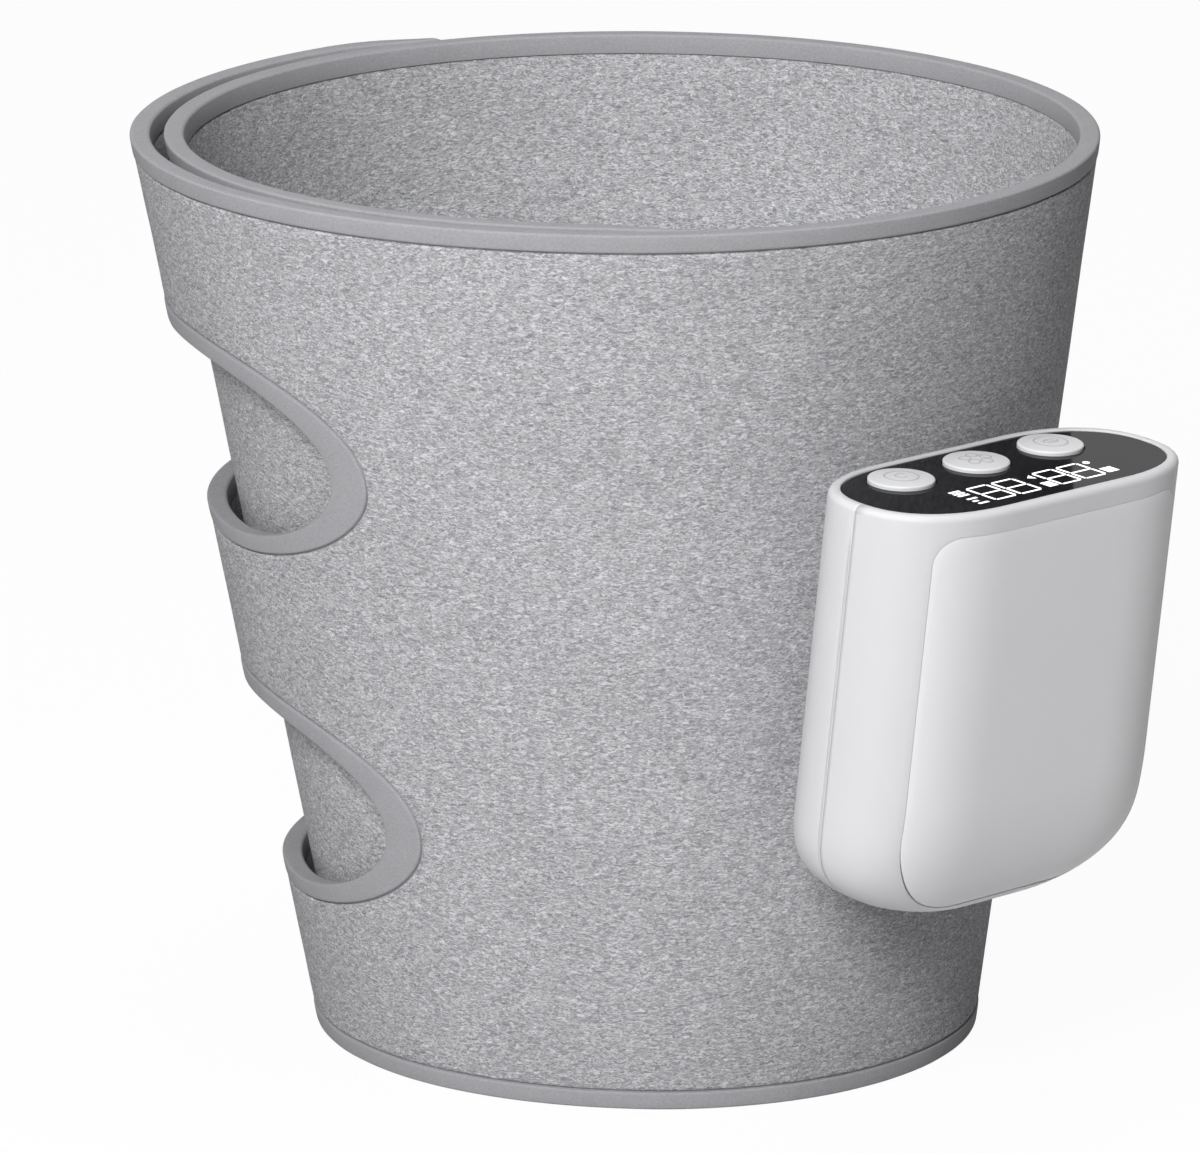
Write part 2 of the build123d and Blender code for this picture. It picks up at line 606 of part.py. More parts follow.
def socket_block(grow, x0, x1):
    """The charging socket's outline, grown evenly, between two places along X."""
    half_width = SOCKET_WIDTH / 2.0 + grow
    shape = block(x0, x1, main_board_front - SOCKET_HEIGHT - grow, main_board_front + grow,
                  socket_z - half_width, socket_z + half_width)
    return fillet(shape.edges().filter_by(Axis.X), SOCKET_HEIGHT / 2.0 - SOCKET_CORNER_FLAT + grow)


def screw_y(x, z, seat, length, side):
    """A pan-head screw along Y: its head stands on the seat, away from the side it points to."""
    head = rod_y(SCREW_HEAD_RADIUS, *sorted((seat, seat - side * SCREW_HEAD_HEIGHT)), x, z)
    shank = rod_y(SCREW_RADIUS, *sorted((seat, seat + side * length)), x, z)
    return head + shank


boss_places = [(sign * (housing_half_length - BOSS_TOP_INSET), -BOSS_TOP) for sign in (-1, 1)]
boss_places += [(sign * BOSS_BOTTOM_X, BOSS_BOTTOM_RISE - HOUSING_HEIGHT) for sign in (-1, 1)]
post_top = -CHASSIS_TOP - POST_MARGIN
post_places = [(-post_x, post_top), (post_x, post_top), (-post_x, -chassis_bottom + POST_MARGIN)]
dock_places = [(sign * DOCK_SCREW_X, z) for sign in (-1, 1)
               for z in (-DOCK_TOP - DOCK_SCREW_TOP, -dock_bottom + DOCK_SCREW_BOTTOM)]
ring_places = [MOTOR_LEFT + RING_INSET, motor_right - RING_INSET - RING_WIDTH]
pilot = SCREW_RADIUS + SCREW_CLEARANCE


def port_rod(radius):
    """The line of the air port, from the manifold to well inside the sleeve."""
    start = chassis_back + MANIFOLD_SIZE
    return PUMP * rod_y(radius, start, start + 2.0 * housing_half_depth, air_x, -manifold_middle)


def cut_port(shape):
    return shape - port_rod(PORT_RADIUS + SCREW_CLEARANCE)


def shell_inside(side):
    """Bosses, board ribs and motor cradles on the inside of one shell (side 1 is the rear)."""
    reach = side * housing_half_depth
    pieces = [rod_y(BOSS_DIAMETER / 2.0, *sorted((0.0, reach)), x, z) for x, z in boss_places]
    board_bottom = board_top + BOARD_THICKNESS
    for x in (-BOARD_RIB_X, BOARD_RIB_X):
        ends = sorted((side * (inner_half_depth - BOARD_RIB_DEPTH), reach))
        pieces.append(PANEL * block(x - BOARD_RIB_WIDTH / 2.0, x + BOARD_RIB_WIDTH / 2.0, *ends,
                                    -board_bottom - BOARD_RIB_HEIGHT, -board_bottom))
    for x in ring_places:
        cradle = block(x, x + RING_WIDTH, *sorted((0.0, reach)),
                       -motor_depth - CRADLE_HEIGHT / 2.0, -motor_depth + CRADLE_HEIGHT / 2.0)
        pieces.append(cradle - rod_x(RING_RADIUS + CRADLE_CLEARANCE, x, x + RING_WIDTH, 0, -motor_depth))
    if side > 0:
        pieces += [rod_y(POST_DIAMETER / 2.0, chassis_back, reach, x, z) for x, z in post_places]
    return Compound(children=[solid for piece in pieces for solid in piece.solids()])


def make_housing():
    outer = housing(0.0) - above_panel(0.0)
    outer = fillet(rim_edges(outer), RIM_ROUND)
    shell = outer - (housing(SHELL_WALL) - above_panel(top_wall))
    shell -= panel_slab(panel_oval(-LENS_CLEARANCE), -RIM_WIDTH, lens_bottom)
    shell -= panel_slab(panel_oval(LEDGE_WIDTH), 0.0, top_wall + RIM_WIDTH)
    lining_depth = housing(SHELL_WALL / 2.0)
    half = 2.0 * HOUSING_HEIGHT
    rear = (shell & block(-half, half, 0, half, -half, half)) + (shell_inside(1) & lining_depth)
    front = (shell & block(-half, half, -half, 0, -half, half)) + (shell_inside(-1) & lining_depth)
    for x, z in boss_places:
        rear -= rod_y(pilot + SCREW_CLEARANCE, 0, SHELL_SCREW_SEAT, x, z)
        rear -= rod_y(SCREW_HEAD_RADIUS + SCREW_CLEARANCE, SHELL_SCREW_SEAT, half, x, z)
        front -= rod_y(pilot, -SCREW_BITE, 0, x, z)
    for x, z in post_places:
        rear -= rod_y(pilot, chassis_back, chassis_back + SCREW_BITE, x, z)
    for x, z in dock_places:
        rear -= rod_y(pilot, 0, half, x, z)
    rear -= rod_y(PORT_RADIUS + SCREW_CLEARANCE, chassis_back, half, air_x, -manifold_middle)
    rear -= socket_block(SOCKET_GAP, inner_half_depth, half)
    skin = outer - housing(COVER_THICKNESS)
    front -= skin & cover_zone(0.0)
    cover = skin & cover_zone(COVER_SEAM)
    save("rear_shell", PUMP * rear)
    save("front_shell", PUMP * front)
    save("front_cover", PUMP * cover)


# ================================================================== panel, display and buttons
def make_panel():
    lens = panel_slab(panel_oval(0.0), LENS_RECESS, lens_bottom)
    hole = BUTTON_DIAMETER / 2.0 + BUTTON_CLEARANCE
    for x in button_places:
        lens -= PANEL * rod_z(hole, -2.0 * lens_bottom, RIM_WIDTH, x, BUTTON_ROW_Y)
    save("display_panel", PUMP * lens)

    display = block(DISPLAY_X - DISPLAY_LENGTH / 2.0, DISPLAY_X + DISPLAY_LENGTH / 2.0,
                    -DISPLAY_FRONT, -DISPLAY_FRONT + DISPLAY_DEPTH, -board_top, -board_top + DISPLAY_HEIGHT)
    save("display_module", PUMP * PANEL * display)

    board = above_panel(board_top + BOARD_THICKNESS) - above_panel(board_top)
    save("button_board", PUMP * (board & housing(SHELL_WALL + BOARD_CLEARANCE)))

    half = SWITCH_SIZE / 2.0
    switches = [block(x - half, x + half, BUTTON_ROW_Y - half, BUTTON_ROW_Y + half,
                      -board_top, -board_top + SWITCH_HEIGHT) for x in button_places]
    save("tact_switches", *[PUMP * PANEL * switch for switch in switches])


def button():
    """A round domed cap with a flange that the panel holds down, and a stem over its switch."""
    radius = BUTTON_DIAMETER / 2.0
    peak = BUTTON_PROUD - LENS_RECESS
    shoulder = peak - BUTTON_CROWN
    flat = radius - BUTTON_ROUND
    flange_top = -lens_bottom - BUTTON_FLANGE_CLEARANCE
    flange_bottom = flange_top - BUTTON_FLANGE_THICKNESS
    stem_bottom = -board_top + SWITCH_HEIGHT + BUTTON_TRAVEL + BUTTON_STOP
    sphere = (flat ** 2 + BUTTON_CROWN ** 2) / (2.0 * BUTTON_CROWN)
    rise = peak - sphere + sqrt(sphere ** 2 - (flat / 2.0) ** 2)
    stem = BUTTON_STEM_DIAMETER / 2.0
    bend = BUTTON_ROUND * (1.0 - sqrt(0.5))
    outline = [
        Polyline([(0, peak), (0, stem_bottom), (stem, stem_bottom), (stem, flange_bottom),
                  (radius + BUTTON_FLANGE, flange_bottom), (radius + BUTTON_FLANGE, flange_top),
                  (radius, flange_top), (radius, shoulder - BUTTON_ROUND)]),
        ThreePointArc((radius, shoulder - BUTTON_ROUND), (radius - bend, shoulder - bend), (flat, shoulder)),
        ThreePointArc((flat, shoulder), (flat / 2.0, rise), (0, peak))]
    return revolve(Plane.XZ * make_face(outline), Axis.Z)


def make_buttons():
    for name, x in zip(("mode_button", "level_button", "power_button"), button_places):
        save(name, PUMP * PANEL * Pos(x, BUTTON_ROW_Y, 0) * button())


# ================================================================== chassis and electrics
def make_electrics():
    half = CHASSIS_WIDTH / 2.0
    chassis = block(-half, half, CHASSIS_FRONT, chassis_back, -chassis_bottom, -CHASSIS_TOP)
    inset = STANDOFF_DIAMETER
    board_x = (MAIN_BOARD_LEFT + inset, half - inset)
    board_z = (main_board_top - inset, main_board_bottom + inset)
    for x in board_x:
        for z in board_z:
            chassis += rod_y(STANDOFF_DIAMETER / 2.0, chassis_back, main_board_front, x, z)
    for x, z in post_places:
        chassis -= rod_y(pilot, 0, chassis_back, x, z)
    save("chassis", PUMP * chassis)

    half = BATTERY_WIDTH / 2.0
    battery = block(-half, half, CHASSIS_FRONT - BATTERY_THICKNESS, CHASSIS_FRONT,
                    -chassis_bottom + CHASSIS_MARGIN, -CHASSIS_TOP - BATTERY_TOP_MARGIN)
    battery = fillet(battery.edges().filter_by(Axis.Z), BATTERY_CORNER)
    save("battery", PUMP * battery)

    socket_y = main_board_front - SOCKET_HEIGHT / 2.0
    mouth = end_face_x(socket_y) - SOCKET_RECESS
    board_right = mouth - SOCKET_OVERHANG
    board = block(MAIN_BOARD_LEFT, board_right, main_board_front, main_board_back,
                  main_board_bottom, main_board_top)
    save("main_board", PUMP * board)

    chips = []
    for across, rise, size, height in CHIPS:
        left, top = MAIN_BOARD_LEFT + across, main_board_middle + rise
        chips.append(block(left, left + size, main_board_back, main_board_back + height, top - size, top))
    save("board_chips", *[PUMP * chip for chip in chips])
    buzzer = rod_y(BUZZER_DIAMETER / 2.0, main_board_back, main_board_back + BUZZER_HEIGHT,
                   MAIN_BOARD_LEFT + BUZZER_ACROSS, main_board_middle - BUZZER_DROP)
    save("buzzer", PUMP * buzzer)

    back = mouth - SOCKET_LENGTH
    socket = socket_block(0.0, back, mouth) - socket_block(-SOCKET_WALL, back + SOCKET_WALL, mouth)
    tongue_half = (SOCKET_WIDTH - SOCKET_HEIGHT) / 2.0
    socket += block(back, mouth - SOCKET_TONGUE_INSET, socket_y - SOCKET_WALL, socket_y + SOCKET_WALL,
                    socket_z - tongue_half, socket_z + tongue_half)
    save("usb_socket", PUMP * socket)

    ribbon_x = (MAIN_BOARD_LEFT + board_right - RIBBON_WIDTH) / 2.0
    ribbon = block(ribbon_x, ribbon_x + RIBBON_WIDTH, main_board_back, main_board_back + RIBBON_THICKNESS,
                   main_board_top - RIBBON_OVERLAP, 0)
    ribbon -= above_panel(board_top + BOARD_THICKNESS)
    save("ribbon_cable", PUMP * ribbon)


# ================================================================== air pump, valve and hoses
def make_air_side():
    axis = {"y": 0.0, "z": -motor_depth}
    inside = MOTOR_RADIUS - MOTOR_WALL
    bearing = SHAFT_RADIUS + BEARING_CLEARANCE
    can = rod_x(MOTOR_RADIUS, MOTOR_LEFT, motor_right, **axis)
    can -= rod_x(inside, MOTOR_LEFT + MOTOR_WALL, motor_right, **axis)
    can -= rod_x(bearing, MOTOR_LEFT, motor_right, **axis)
    save("motor_can", PUMP * can)
    cap = rod_x(inside, motor_right - MOTOR_CAP, motor_right, **axis)
    cap -= rod_x(bearing, motor_right - MOTOR_CAP, motor_right, **axis)
    save("motor_end_cap", PUMP * cap)

    middle = (MOTOR_LEFT + MOTOR_WALL + motor_right - MOTOR_CAP) / 2.0
    crank_right = MOTOR_LEFT - CRANK_STANDOFF
    crank_left = crank_right - CRANK_LENGTH
    rotor = rod_x(ROTOR_RADIUS, middle - ROTOR_LENGTH / 2.0, middle + ROTOR_LENGTH / 2.0, **axis)
    rotor += rod_x(SHAFT_RADIUS, crank_left, motor_right, **axis)
    save("motor_rotor", PUMP * rotor)
    crank = rod_x(CRANK_RADIUS, crank_left, crank_right, 0.0, -motor_depth + CRANK_OFFSET)
    crank -= rod_x(SHAFT_RADIUS, crank_left, crank_right, **axis)
    save("crank", PUMP * crank)

    head_left = MOTOR_LEFT - HEAD_LENGTH
    half = HEAD_SIZE / 2.0
    head = block(head_left, MOTOR_LEFT, -half, half, -motor_depth - half, -motor_depth + half)
    head = fillet(head.edges().filter_by(Axis.X), HEAD_CORNER)
    cavity_left = MOTOR_LEFT - HEAD_CAVITY_LENGTH
    head -= rod_x(HEAD_CAVITY_RADIUS, cavity_left, MOTOR_LEFT, **axis)
    head_top = -motor_depth + half
    head += rod_z(NIPPLE_RADIUS, head_top, head_top + NIPPLE_LENGTH, air_x, air_y)
    save("pump_head", PUMP * head)
    diaphragm = rod_x(HEAD_CAVITY_RADIUS, cavity_left, cavity_left + DIAPHRAGM_THICKNESS, **axis)
    diaphragm += rod_x(CRANK_RADIUS / 2.0, cavity_left, crank_left - CRANK_CLEARANCE, **axis)
    save("diaphragm", PUMP * diaphragm)

    rings = [rod_x(RING_RADIUS, x, x + RING_WIDTH, **axis) - rod_x(MOTOR_RADIUS, x, x + RING_WIDTH, **axis)
             for x in ring_places]
    save("motor_rings", *[PUMP * ring for ring in rings])

    bottom = -manifold_middle - MANIFOLD_HEIGHT / 2.0
    top = -manifold_middle + MANIFOLD_HEIGHT / 2.0
    half = MANIFOLD_SIZE / 2.0
    sensor_y = main_board_back + SENSOR_THICKNESS / 2.0
    side = air_x + half
    manifold = block(air_x - half, side, chassis_back, chassis_back + MANIFOLD_SIZE, bottom, top)
    manifold += rod_z(NIPPLE_RADIUS, bottom - NIPPLE_LENGTH, bottom, air_x, air_y)
    manifold += rod_x(NIPPLE_RADIUS, side, side + NIPPLE_LENGTH, sensor_y, -manifold_middle)
    save("manifold", PUMP * manifold)
    hose = rod_z(HOSE_RADIUS, head_top, bottom, air_x, air_y)
    save("pump_hose", PUMP * (hose - rod_z(NIPPLE_RADIUS, head_top, bottom, air_x, air_y)))

    sensor = block(sensor_left, sensor_left + SENSOR_SIZE, main_board_back,
                   main_board_back + SENSOR_THICKNESS, -manifold_middle - SENSOR_SIZE / 2.0,
                   -manifold_middle + SENSOR_SIZE / 2.0)
    sensor += rod_x(NIPPLE_RADIUS, sensor_left - NIPPLE_LENGTH, sensor_left, sensor_y, -manifold_middle)
    save("pressure_sensor", PUMP * sensor)
    hose = rod_x(HOSE_RADIUS, side, sensor_left, sensor_y, -manifold_middle)
    save("sensor_hose", PUMP * (hose - rod_x(NIPPLE_RADIUS, side, sensor_left, sensor_y, -manifold_middle)))

    half = VALVE_SIZE / 2.0
    cavity_top = top + VALVE_HEIGHT - VALVE_WALL
    valve = block(air_x - half, air_x + half, chassis_back, chassis_back + VALVE_SIZE,
                  top, top + VALVE_HEIGHT)
    valve -= rod_z(VALVE_BORE_RADIUS, top, cavity_top, air_x, air_y)
    save("valve_body", PUMP * valve)
    plunger_top = top + PLUNGER_SEAT + PLUNGER_LENGTH
    plunger = rod_z(PLUNGER_RADIUS, top + PLUNGER_SEAT, plunger_top, air_x, air_y)
    plunger += rod_z(PLUNGER_PIN_RADIUS, plunger_top, plunger_top + PLUNGER_PIN_LENGTH, air_x, air_y)
    save("valve_plunger", PUMP * plunger)
    low = plunger_top + PLUNGER_TRAVEL + SPRING_WIRE_RADIUS + PLUNGER_SEAT
    high = cavity_top - SPRING_WIRE_RADIUS
    coil = Helix(pitch=(high - low) / SPRING_TURNS, height=high - low, radius=SPRING_RADIUS)
    wire = Plane(origin=coil @ 0, z_dir=coil % 0) * Circle(SPRING_WIRE_RADIUS)
    spring = Pos(air_x, air_y, low) * sweep(wire, path=coil)
    save("valve_spring", PUMP * spring)


# ================================================================== dock, port and screws
def make_dock():
    sag = TOP_RADIUS - sqrt(TOP_RADIUS ** 2 - (DOCK_WIDTH / 2.0 + abs(PUMP_X)) ** 2)
    plate = block(-DOCK_WIDTH / 2.0, DOCK_WIDTH / 2.0, housing_half_depth,
                  housing_half_depth + DOCK_GAP + 2.0 * sag, -dock_bottom, -DOCK_TOP)
    plate = fillet(plate.edges().filter_by(Axis.Y), DOCK_CORNER)
    for x, z in dock_places:
        plate -= rod_y(pilot, housing_half_depth, housing_half_depth + DOCK_SCREW_BITE, x, z)
    save("dock_plate", cut_port(PUMP * plate - bulk()))
    port = port_rod(PORT_RADIUS) - bulk(FABRIC_THICKNESS + FOAM_THICKNESS) - port_rod(PORT_BORE_RADIUS)
    save("air_port", port)


def make_screws():
    bite = SCREW_BITE - SCREW_END_GAP
    dock_length = SHELL_WALL + DOCK_SCREW_BITE - SCREW_END_GAP
    shell = [screw_y(x, z, SHELL_SCREW_SEAT, SHELL_SCREW_SEAT + bite, -1) for x, z in boss_places]
    chassis = [screw_y(x, z, CHASSIS_FRONT, CHASSIS_THICKNESS + bite, 1) for x, z in post_places]
    dock = [screw_y(x, z, inner_half_depth, dock_length, 1) for x, z in dock_places]
    save("shell_screws", *[PUMP * screw for screw in shell])
    save("chassis_screws", *[PUMP * screw for screw in chassis])
    save("dock_screws", *[PUMP * screw for screw in dock])


make_sleeve()
make_tabs()
make_housing()
make_panel()
make_buttons()
make_electrics()
make_air_side()
make_dock()
make_screws()
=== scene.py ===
import bmesh
import bpy
from math import acos, asin, ceil, cos, degrees, pi, radians, sin, sqrt
from mathutils import Matrix, Vector, noise


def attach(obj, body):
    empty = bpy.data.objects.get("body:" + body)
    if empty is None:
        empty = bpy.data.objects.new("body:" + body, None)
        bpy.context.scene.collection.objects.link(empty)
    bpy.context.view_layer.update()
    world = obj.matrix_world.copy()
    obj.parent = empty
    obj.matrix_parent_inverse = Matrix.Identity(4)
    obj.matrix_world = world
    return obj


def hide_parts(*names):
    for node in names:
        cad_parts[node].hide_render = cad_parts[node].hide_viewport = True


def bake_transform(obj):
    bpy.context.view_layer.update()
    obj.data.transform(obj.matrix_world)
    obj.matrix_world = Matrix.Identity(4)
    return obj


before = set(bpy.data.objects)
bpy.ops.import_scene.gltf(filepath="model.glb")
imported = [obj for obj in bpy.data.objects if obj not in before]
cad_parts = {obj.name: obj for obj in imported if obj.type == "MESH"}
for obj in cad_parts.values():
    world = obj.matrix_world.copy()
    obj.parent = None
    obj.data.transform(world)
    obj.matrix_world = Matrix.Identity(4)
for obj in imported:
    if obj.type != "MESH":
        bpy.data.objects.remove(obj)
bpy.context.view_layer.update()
MM = 0.001

# ------------------------ sizes, in millimetres
SLEEVE_HEIGHT = 160.0
BASE_RADIUS, TOP_RADIUS = 55.8, 80.8
TOP_SHIFT = (-3.8, 3.4)
WALL = 3.2
FELT_DEPTH = 2.4            # the lining is the rest of the wall
WRAP_START, WRAP_BODY, WRAP_END = 34.0, 46.0, 559.0
END_TAPER = 12.0
LAP_START, LAP_FULL, LAP_CLOSE, LAP_END = 47.0, 134.0, 184.0, 199.0
TIP_SHARE = 0.4
INNER_GAP, OUTER_GAP = (1.1, 2.0), (1.5, 2.7)
END_CLEARANCE, LAP_CLEARANCE = 0.1, 0.5
BEND_START, BEND_END = 448.0, 458.0
SPLIT_TURN = 438.4          # where the tabs' felt takes over from the sleeve's
TAPE = 3.2
TAPE_TIP, TAPE_ABOVE, TAPE_BELOW = 7.7, 3.3, 2.9
TAPE_BEND, TAPE_PUFF = 0.45, 0.16
INNER_EXTRA = 0.2           # by how much the tape reaches further on its inner face
GROOVE = 0.3                # between the felt and the tape
END_GROOVE = 0.3            # the same at the inner end, in degrees
CORNER, OUTER_CORNER = 9.0, 4.0
WAVES = ((0.10, 0.06), (0.05, 0.17))        # (height, scale) of the felt's unevenness
FELT_STEP = 1.5             # degrees between the sleeve's sections
END_MARGIN = 3.0            # degrees before the tabs' ends at which their radius is taken
END_RUN = 6.0               # degrees before the tabs' ends over which their felt's sections close up
END_RADIUS, FELT_CORNER = 75.0, 0.5         # the tabs' radius there, about, and their felt's corners
SOFT_REACH = 4.0            # how far from a notch's middle line its felt edges are fully rounded
UPRIGHT_STEP, INNER_END_STEP = 3.0, 4.0     # millimetres between sections of an upright tape
CORNER_STEPS, NOTCH_STEPS, TAB_STEPS = 12, 40, 30
UPPER = {"turn": 446.2, "height": 111.4, "rise": (16.4, 42.0), "fall": (16.1, 39.0)}
LOWER = {"turn": 446.7, "height": 47.1, "rise": (15.9, 35.5), "fall": (16.6, 40.0)}
PAD_TURNS = (472.0, 510.0)
PAD_MARGIN, PAD_THICKNESS, PAD_CLEARANCE = 6.0, 0.8, 0.1
PAD_CORNER, PAD_ROWS = 4.0, 7

PUMP_PLACE = (-4.25, -90.1619, 117.0)
PUMP_TILT, PANEL_TILT = 7.6884, 2.5         # how far the housing leans and the panel slopes, in degrees
PUMP = Matrix.Translation(PUMP_PLACE) @ Matrix.Rotation(radians(PUMP_TILT), 4, "X")
PANEL = PUMP @ Matrix.Rotation(radians(PANEL_TILT - PUMP_TILT), 4, "X")
HALF_LENGTH, HALF_DEPTH = 34.4, 16.4
HALF_STRAIGHT = 13.45
HOUSING_HEIGHT, BELLY = 76.0, 58.5
REAR_ROUND, FRONT_ROUND = (9.0, 9.0), (11.8, 25.2)  # the bottom's rounding: across and in height
END_POWER, BELLY_POWER = 2.3, 2.6
RIM_WIDTH, RIM_ROUND = 2.1, 1.2
RIM_LIP = ((0.02, 1.6), (0.04, 0.22), (0.12, 0.06), (0.28, 0.0))    # (inset, depth) beside the panel
REAR_WALL, FRONT_WALL = 1.2, 1.0
COVER_RECESS, COVER_BACK = 1.1, 0.9         # how deep the recess and the cover's back lie
PANEL_RECESS = 0.3
PANEL_SLOPE = 0.09081       # the panel's slope from front to back, in the pump's frame
COVER_HALF, COVER_TOP, COVER_BOTTOM = 28.0, 2.5, 73.0
COVER_CORNERS = (5.0, 16.0)
COVER_SLOT = 0.3            # the wider gap under the cover
OUTLINE_STEP, OUTLINE_CORNER = 1.7, 12
CORNER_MIDDLE = 0.29        # how far a corner's middle lies inside its square, as a share of its radius
SEAM_SHARE = 0.0055         # half of the shells' seam, as a share of the outline
BELLY_RUN = 40.0
END_SHARE = 0.343           # of the outline's front that each rounded end takes
BUTTONS = {"mode_button": -17.7, "level_button": -0.3, "power_button": 17.1}
BUTTON_Y, BUTTON_PEAK, BUTTON_CROWN = 6.6, 0.7, 0.3
BUTTON_RADIUS, BUTTON_EDGE = 5.7, 0.35


# ------------------------ materials
class Nodes:
    """A short way to write a procedural material."""

    def __init__(self, name):
        self.material = bpy.data.materials.new(name)
        self.material.use_nodes = True
        self.tree = self.material.node_tree
        self.shader = self.tree.nodes["Principled BSDF"]
        self.place = self.add("ShaderNodeTexCoord").outputs["Object"]

    def add(self, kind, **values):
        node = self.tree.nodes.new(kind)
        for key, value in values.items():
            setattr(node, key, value)
        return node

    def link(self, source, target):
        self.tree.links.new(source, target)

    def set(self, **values):
        for key, value in values.items():
            self.shader.inputs[key.replace("_", " ")].default_value = value

    def stretch(self, scale):
        node = self.add("ShaderNodeMapping")
        node.inputs["Scale"].default_value = scale
        self.link(self.place, node.inputs["Vector"])
        return node.outputs["Vector"]

    def noise(self, scale, detail=2.0, roughness=0.5, vector=None, distortion=0.0):
        node = self.add("ShaderNodeTexNoise")
        node.inputs["Scale"].default_value = scale
        node.inputs["Detail"].default_value = detail
        node.inputs["Roughness"].default_value = roughness
        node.inputs["Distortion"].default_value = distortion
        self.link(vector or self.place, node.inputs["Vector"])
        return node.outputs["Fac"]

    def ramp(self, value, *stops):
        node = self.add("ShaderNodeValToRGB")
        ramp = node.color_ramp
        while len(ramp.elements) < len(stops):
            ramp.elements.new(0.5)
        for element, (place, colour) in zip(ramp.elements, stops):
            element.position = place
            element.color = (*colour, 1.0) if isinstance(colour, tuple) else (colour, colour, colour, 1.0)
        self.link(value, node.inputs["Fac"])
        return node.outputs["Color"]

    def math(self, operation, a, b):
        node = self.add("ShaderNodeMath", operation=operation)
        for socket, value in zip(node.inputs, (a, b)):
            if isinstance(value, (int, float)):
                socket.default_value = value
            else:
                self.link(value, socket)
        return node.outputs["Value"]

    def mix(self, kind, factor, a, b):
        node = self.add("ShaderNodeMix", data_type="RGBA", blend_type=kind)
        for name, value in (("Factor", factor), ("A", a), ("B", b)):
            socket = node.inputs[name]
            if isinstance(value, (int, float)):
                socket.default_value = value
            elif isinstance(value, tuple):
                socket.default_value = (*value, 1.0)
            else:
                self.link(value, socket)
        return node.outputs["Result"]

    def colour(self, value):
        self.link(value, self.shader.inputs["Base Color"])

    def roughness(self, value):
        self.link(value, self.shader.inputs["Roughness"])

    def bump(self, height, distance, strength=1.0):
        node = self.add("ShaderNodeBump")
        node.inputs["Distance"].default_value = distance
        node.inputs["Strength"].default_value = strength
        self.link(height, node.inputs["Height"])
        self.link(node.outputs["Normal"], self.shader.inputs["Normal"])


FIBRE_SCALE = 990.0         # noise cells to the metre: a fibre is about a millimetre long


def felt_material(name, dark, middle, light):
    """Melange felt: short fibres in several greys that lie mostly sideways."""
    m = Nodes(name)
    flat = m.stretch((1.0, 1.0, 2.6))
    fibres = m.noise(FIBRE_SCALE, 2.0, 0.7, flat, 1.2)
    clumps = m.noise(0.4 * FIBRE_SCALE, 2.0, 0.6, flat)
    drift = m.noise(55.0, 2.0, 0.5)
    level = m.math("ADD", m.math("MULTIPLY", fibres, 0.9), m.math("MULTIPLY", clumps, 0.1))
    shade = m.ramp(level, (0.34, dark), (0.5, middle), (0.66, light))
    shade = m.mix("MULTIPLY", 1.0, shade, m.ramp(drift, (0.3, 0.94), (0.7, 1.0)))
    single = m.ramp(m.noise(1.2 * FIBRE_SCALE, 1.0, 0.5, flat, 1.2), (0.60, 0.0), (0.70, 1.0))
    m.colour(m.mix("MIX", m.math("MULTIPLY", single, 0.35), shade, light))
    m.set(Roughness=0.95, Specular_IOR_Level=0.1)
    m.bump(m.math("ADD", m.math("MULTIPLY", fibres, 0.7), m.math("MULTIPLY", clumps, 0.5)), 0.00035, 0.7)
    return m.material


def tape_material(name, colour):
    """Plain knitted tape: close fine ribs and a little dust of lighter fibre."""
    m = Nodes(name)
    fine = m.noise(2200.0, 2.0, 0.6, m.stretch((1.0, 1.0, 1.6)))
    broad = m.noise(140.0, 2.0, 0.5)
    shade = m.ramp(fine, (0.3, tuple(0.90 * c for c in colour)), (0.7, tuple(1.08 * c for c in colour)))
    m.colour(m.mix("MULTIPLY", 1.0, shade, m.ramp(broad, (0.3, 0.96), (0.7, 1.0))))
    m.set(Roughness=0.85, Specular_IOR_Level=0.2)
    m.bump(fine, 0.00008, 0.6)
    return m.material


def plastic_material(name, colour, rough=0.42, grain=3000.0, depth=0.00001, shine=0.45):
    """Moulded plastic with a fine spark-eroded grain and a faint change of gloss."""
    m = Nodes(name)
    spots = m.noise(grain, 2.0, 0.55)
    broad = m.noise(45.0, 2.0, 0.5)
    m.colour(m.ramp(broad, (0.3, tuple(0.985 * c for c in colour)), (0.7, colour)))
    m.roughness(m.ramp(broad, (0.3, rough - 0.03), (0.7, rough + 0.03)))
    m.set(Specular_IOR_Level=shine)
    m.bump(spots, depth, 0.35)
    return m.material


def metal_material(name, colour, rough):
    """Plated steel with fine drawn lines."""
    m = Nodes(name)
    lines = m.noise(900.0, 3.0, 0.6, m.stretch((0.15, 1.0, 1.0)))
    m.colour(m.ramp(lines, (0.3, tuple(0.88 * c for c in colour)), (0.7, colour)))
    m.roughness(m.ramp(lines, (0.3, rough - 0.06), (0.7, rough + 0.08)))
    m.set(Metallic=1.0)
    m.bump(lines, 0.00001, 0.3)
    return m.material


def board_material(name):
    """Green solder mask over fine copper tracks."""
    m = Nodes(name)
    tracks = m.add("ShaderNodeTexBrick", offset=0.5)
    tracks.inputs["Scale"].default_value = 420.0
    tracks.inputs["Mortar Size"].default_value = 0.06
    tracks.inputs["Color1"].default_value = (0.012, 0.10, 0.045, 1)
    tracks.inputs["Color2"].default_value = (0.016, 0.12, 0.055, 1)
    tracks.inputs["Mortar"].default_value = (0.03, 0.22, 0.10, 1)
    m.link(m.place, tracks.inputs["Vector"])
    m.colour(tracks.outputs["Color"])
    m.set(Roughness=0.3)
    m.bump(tracks.outputs["Fac"], 0.00003, 0.5)
    return m.material


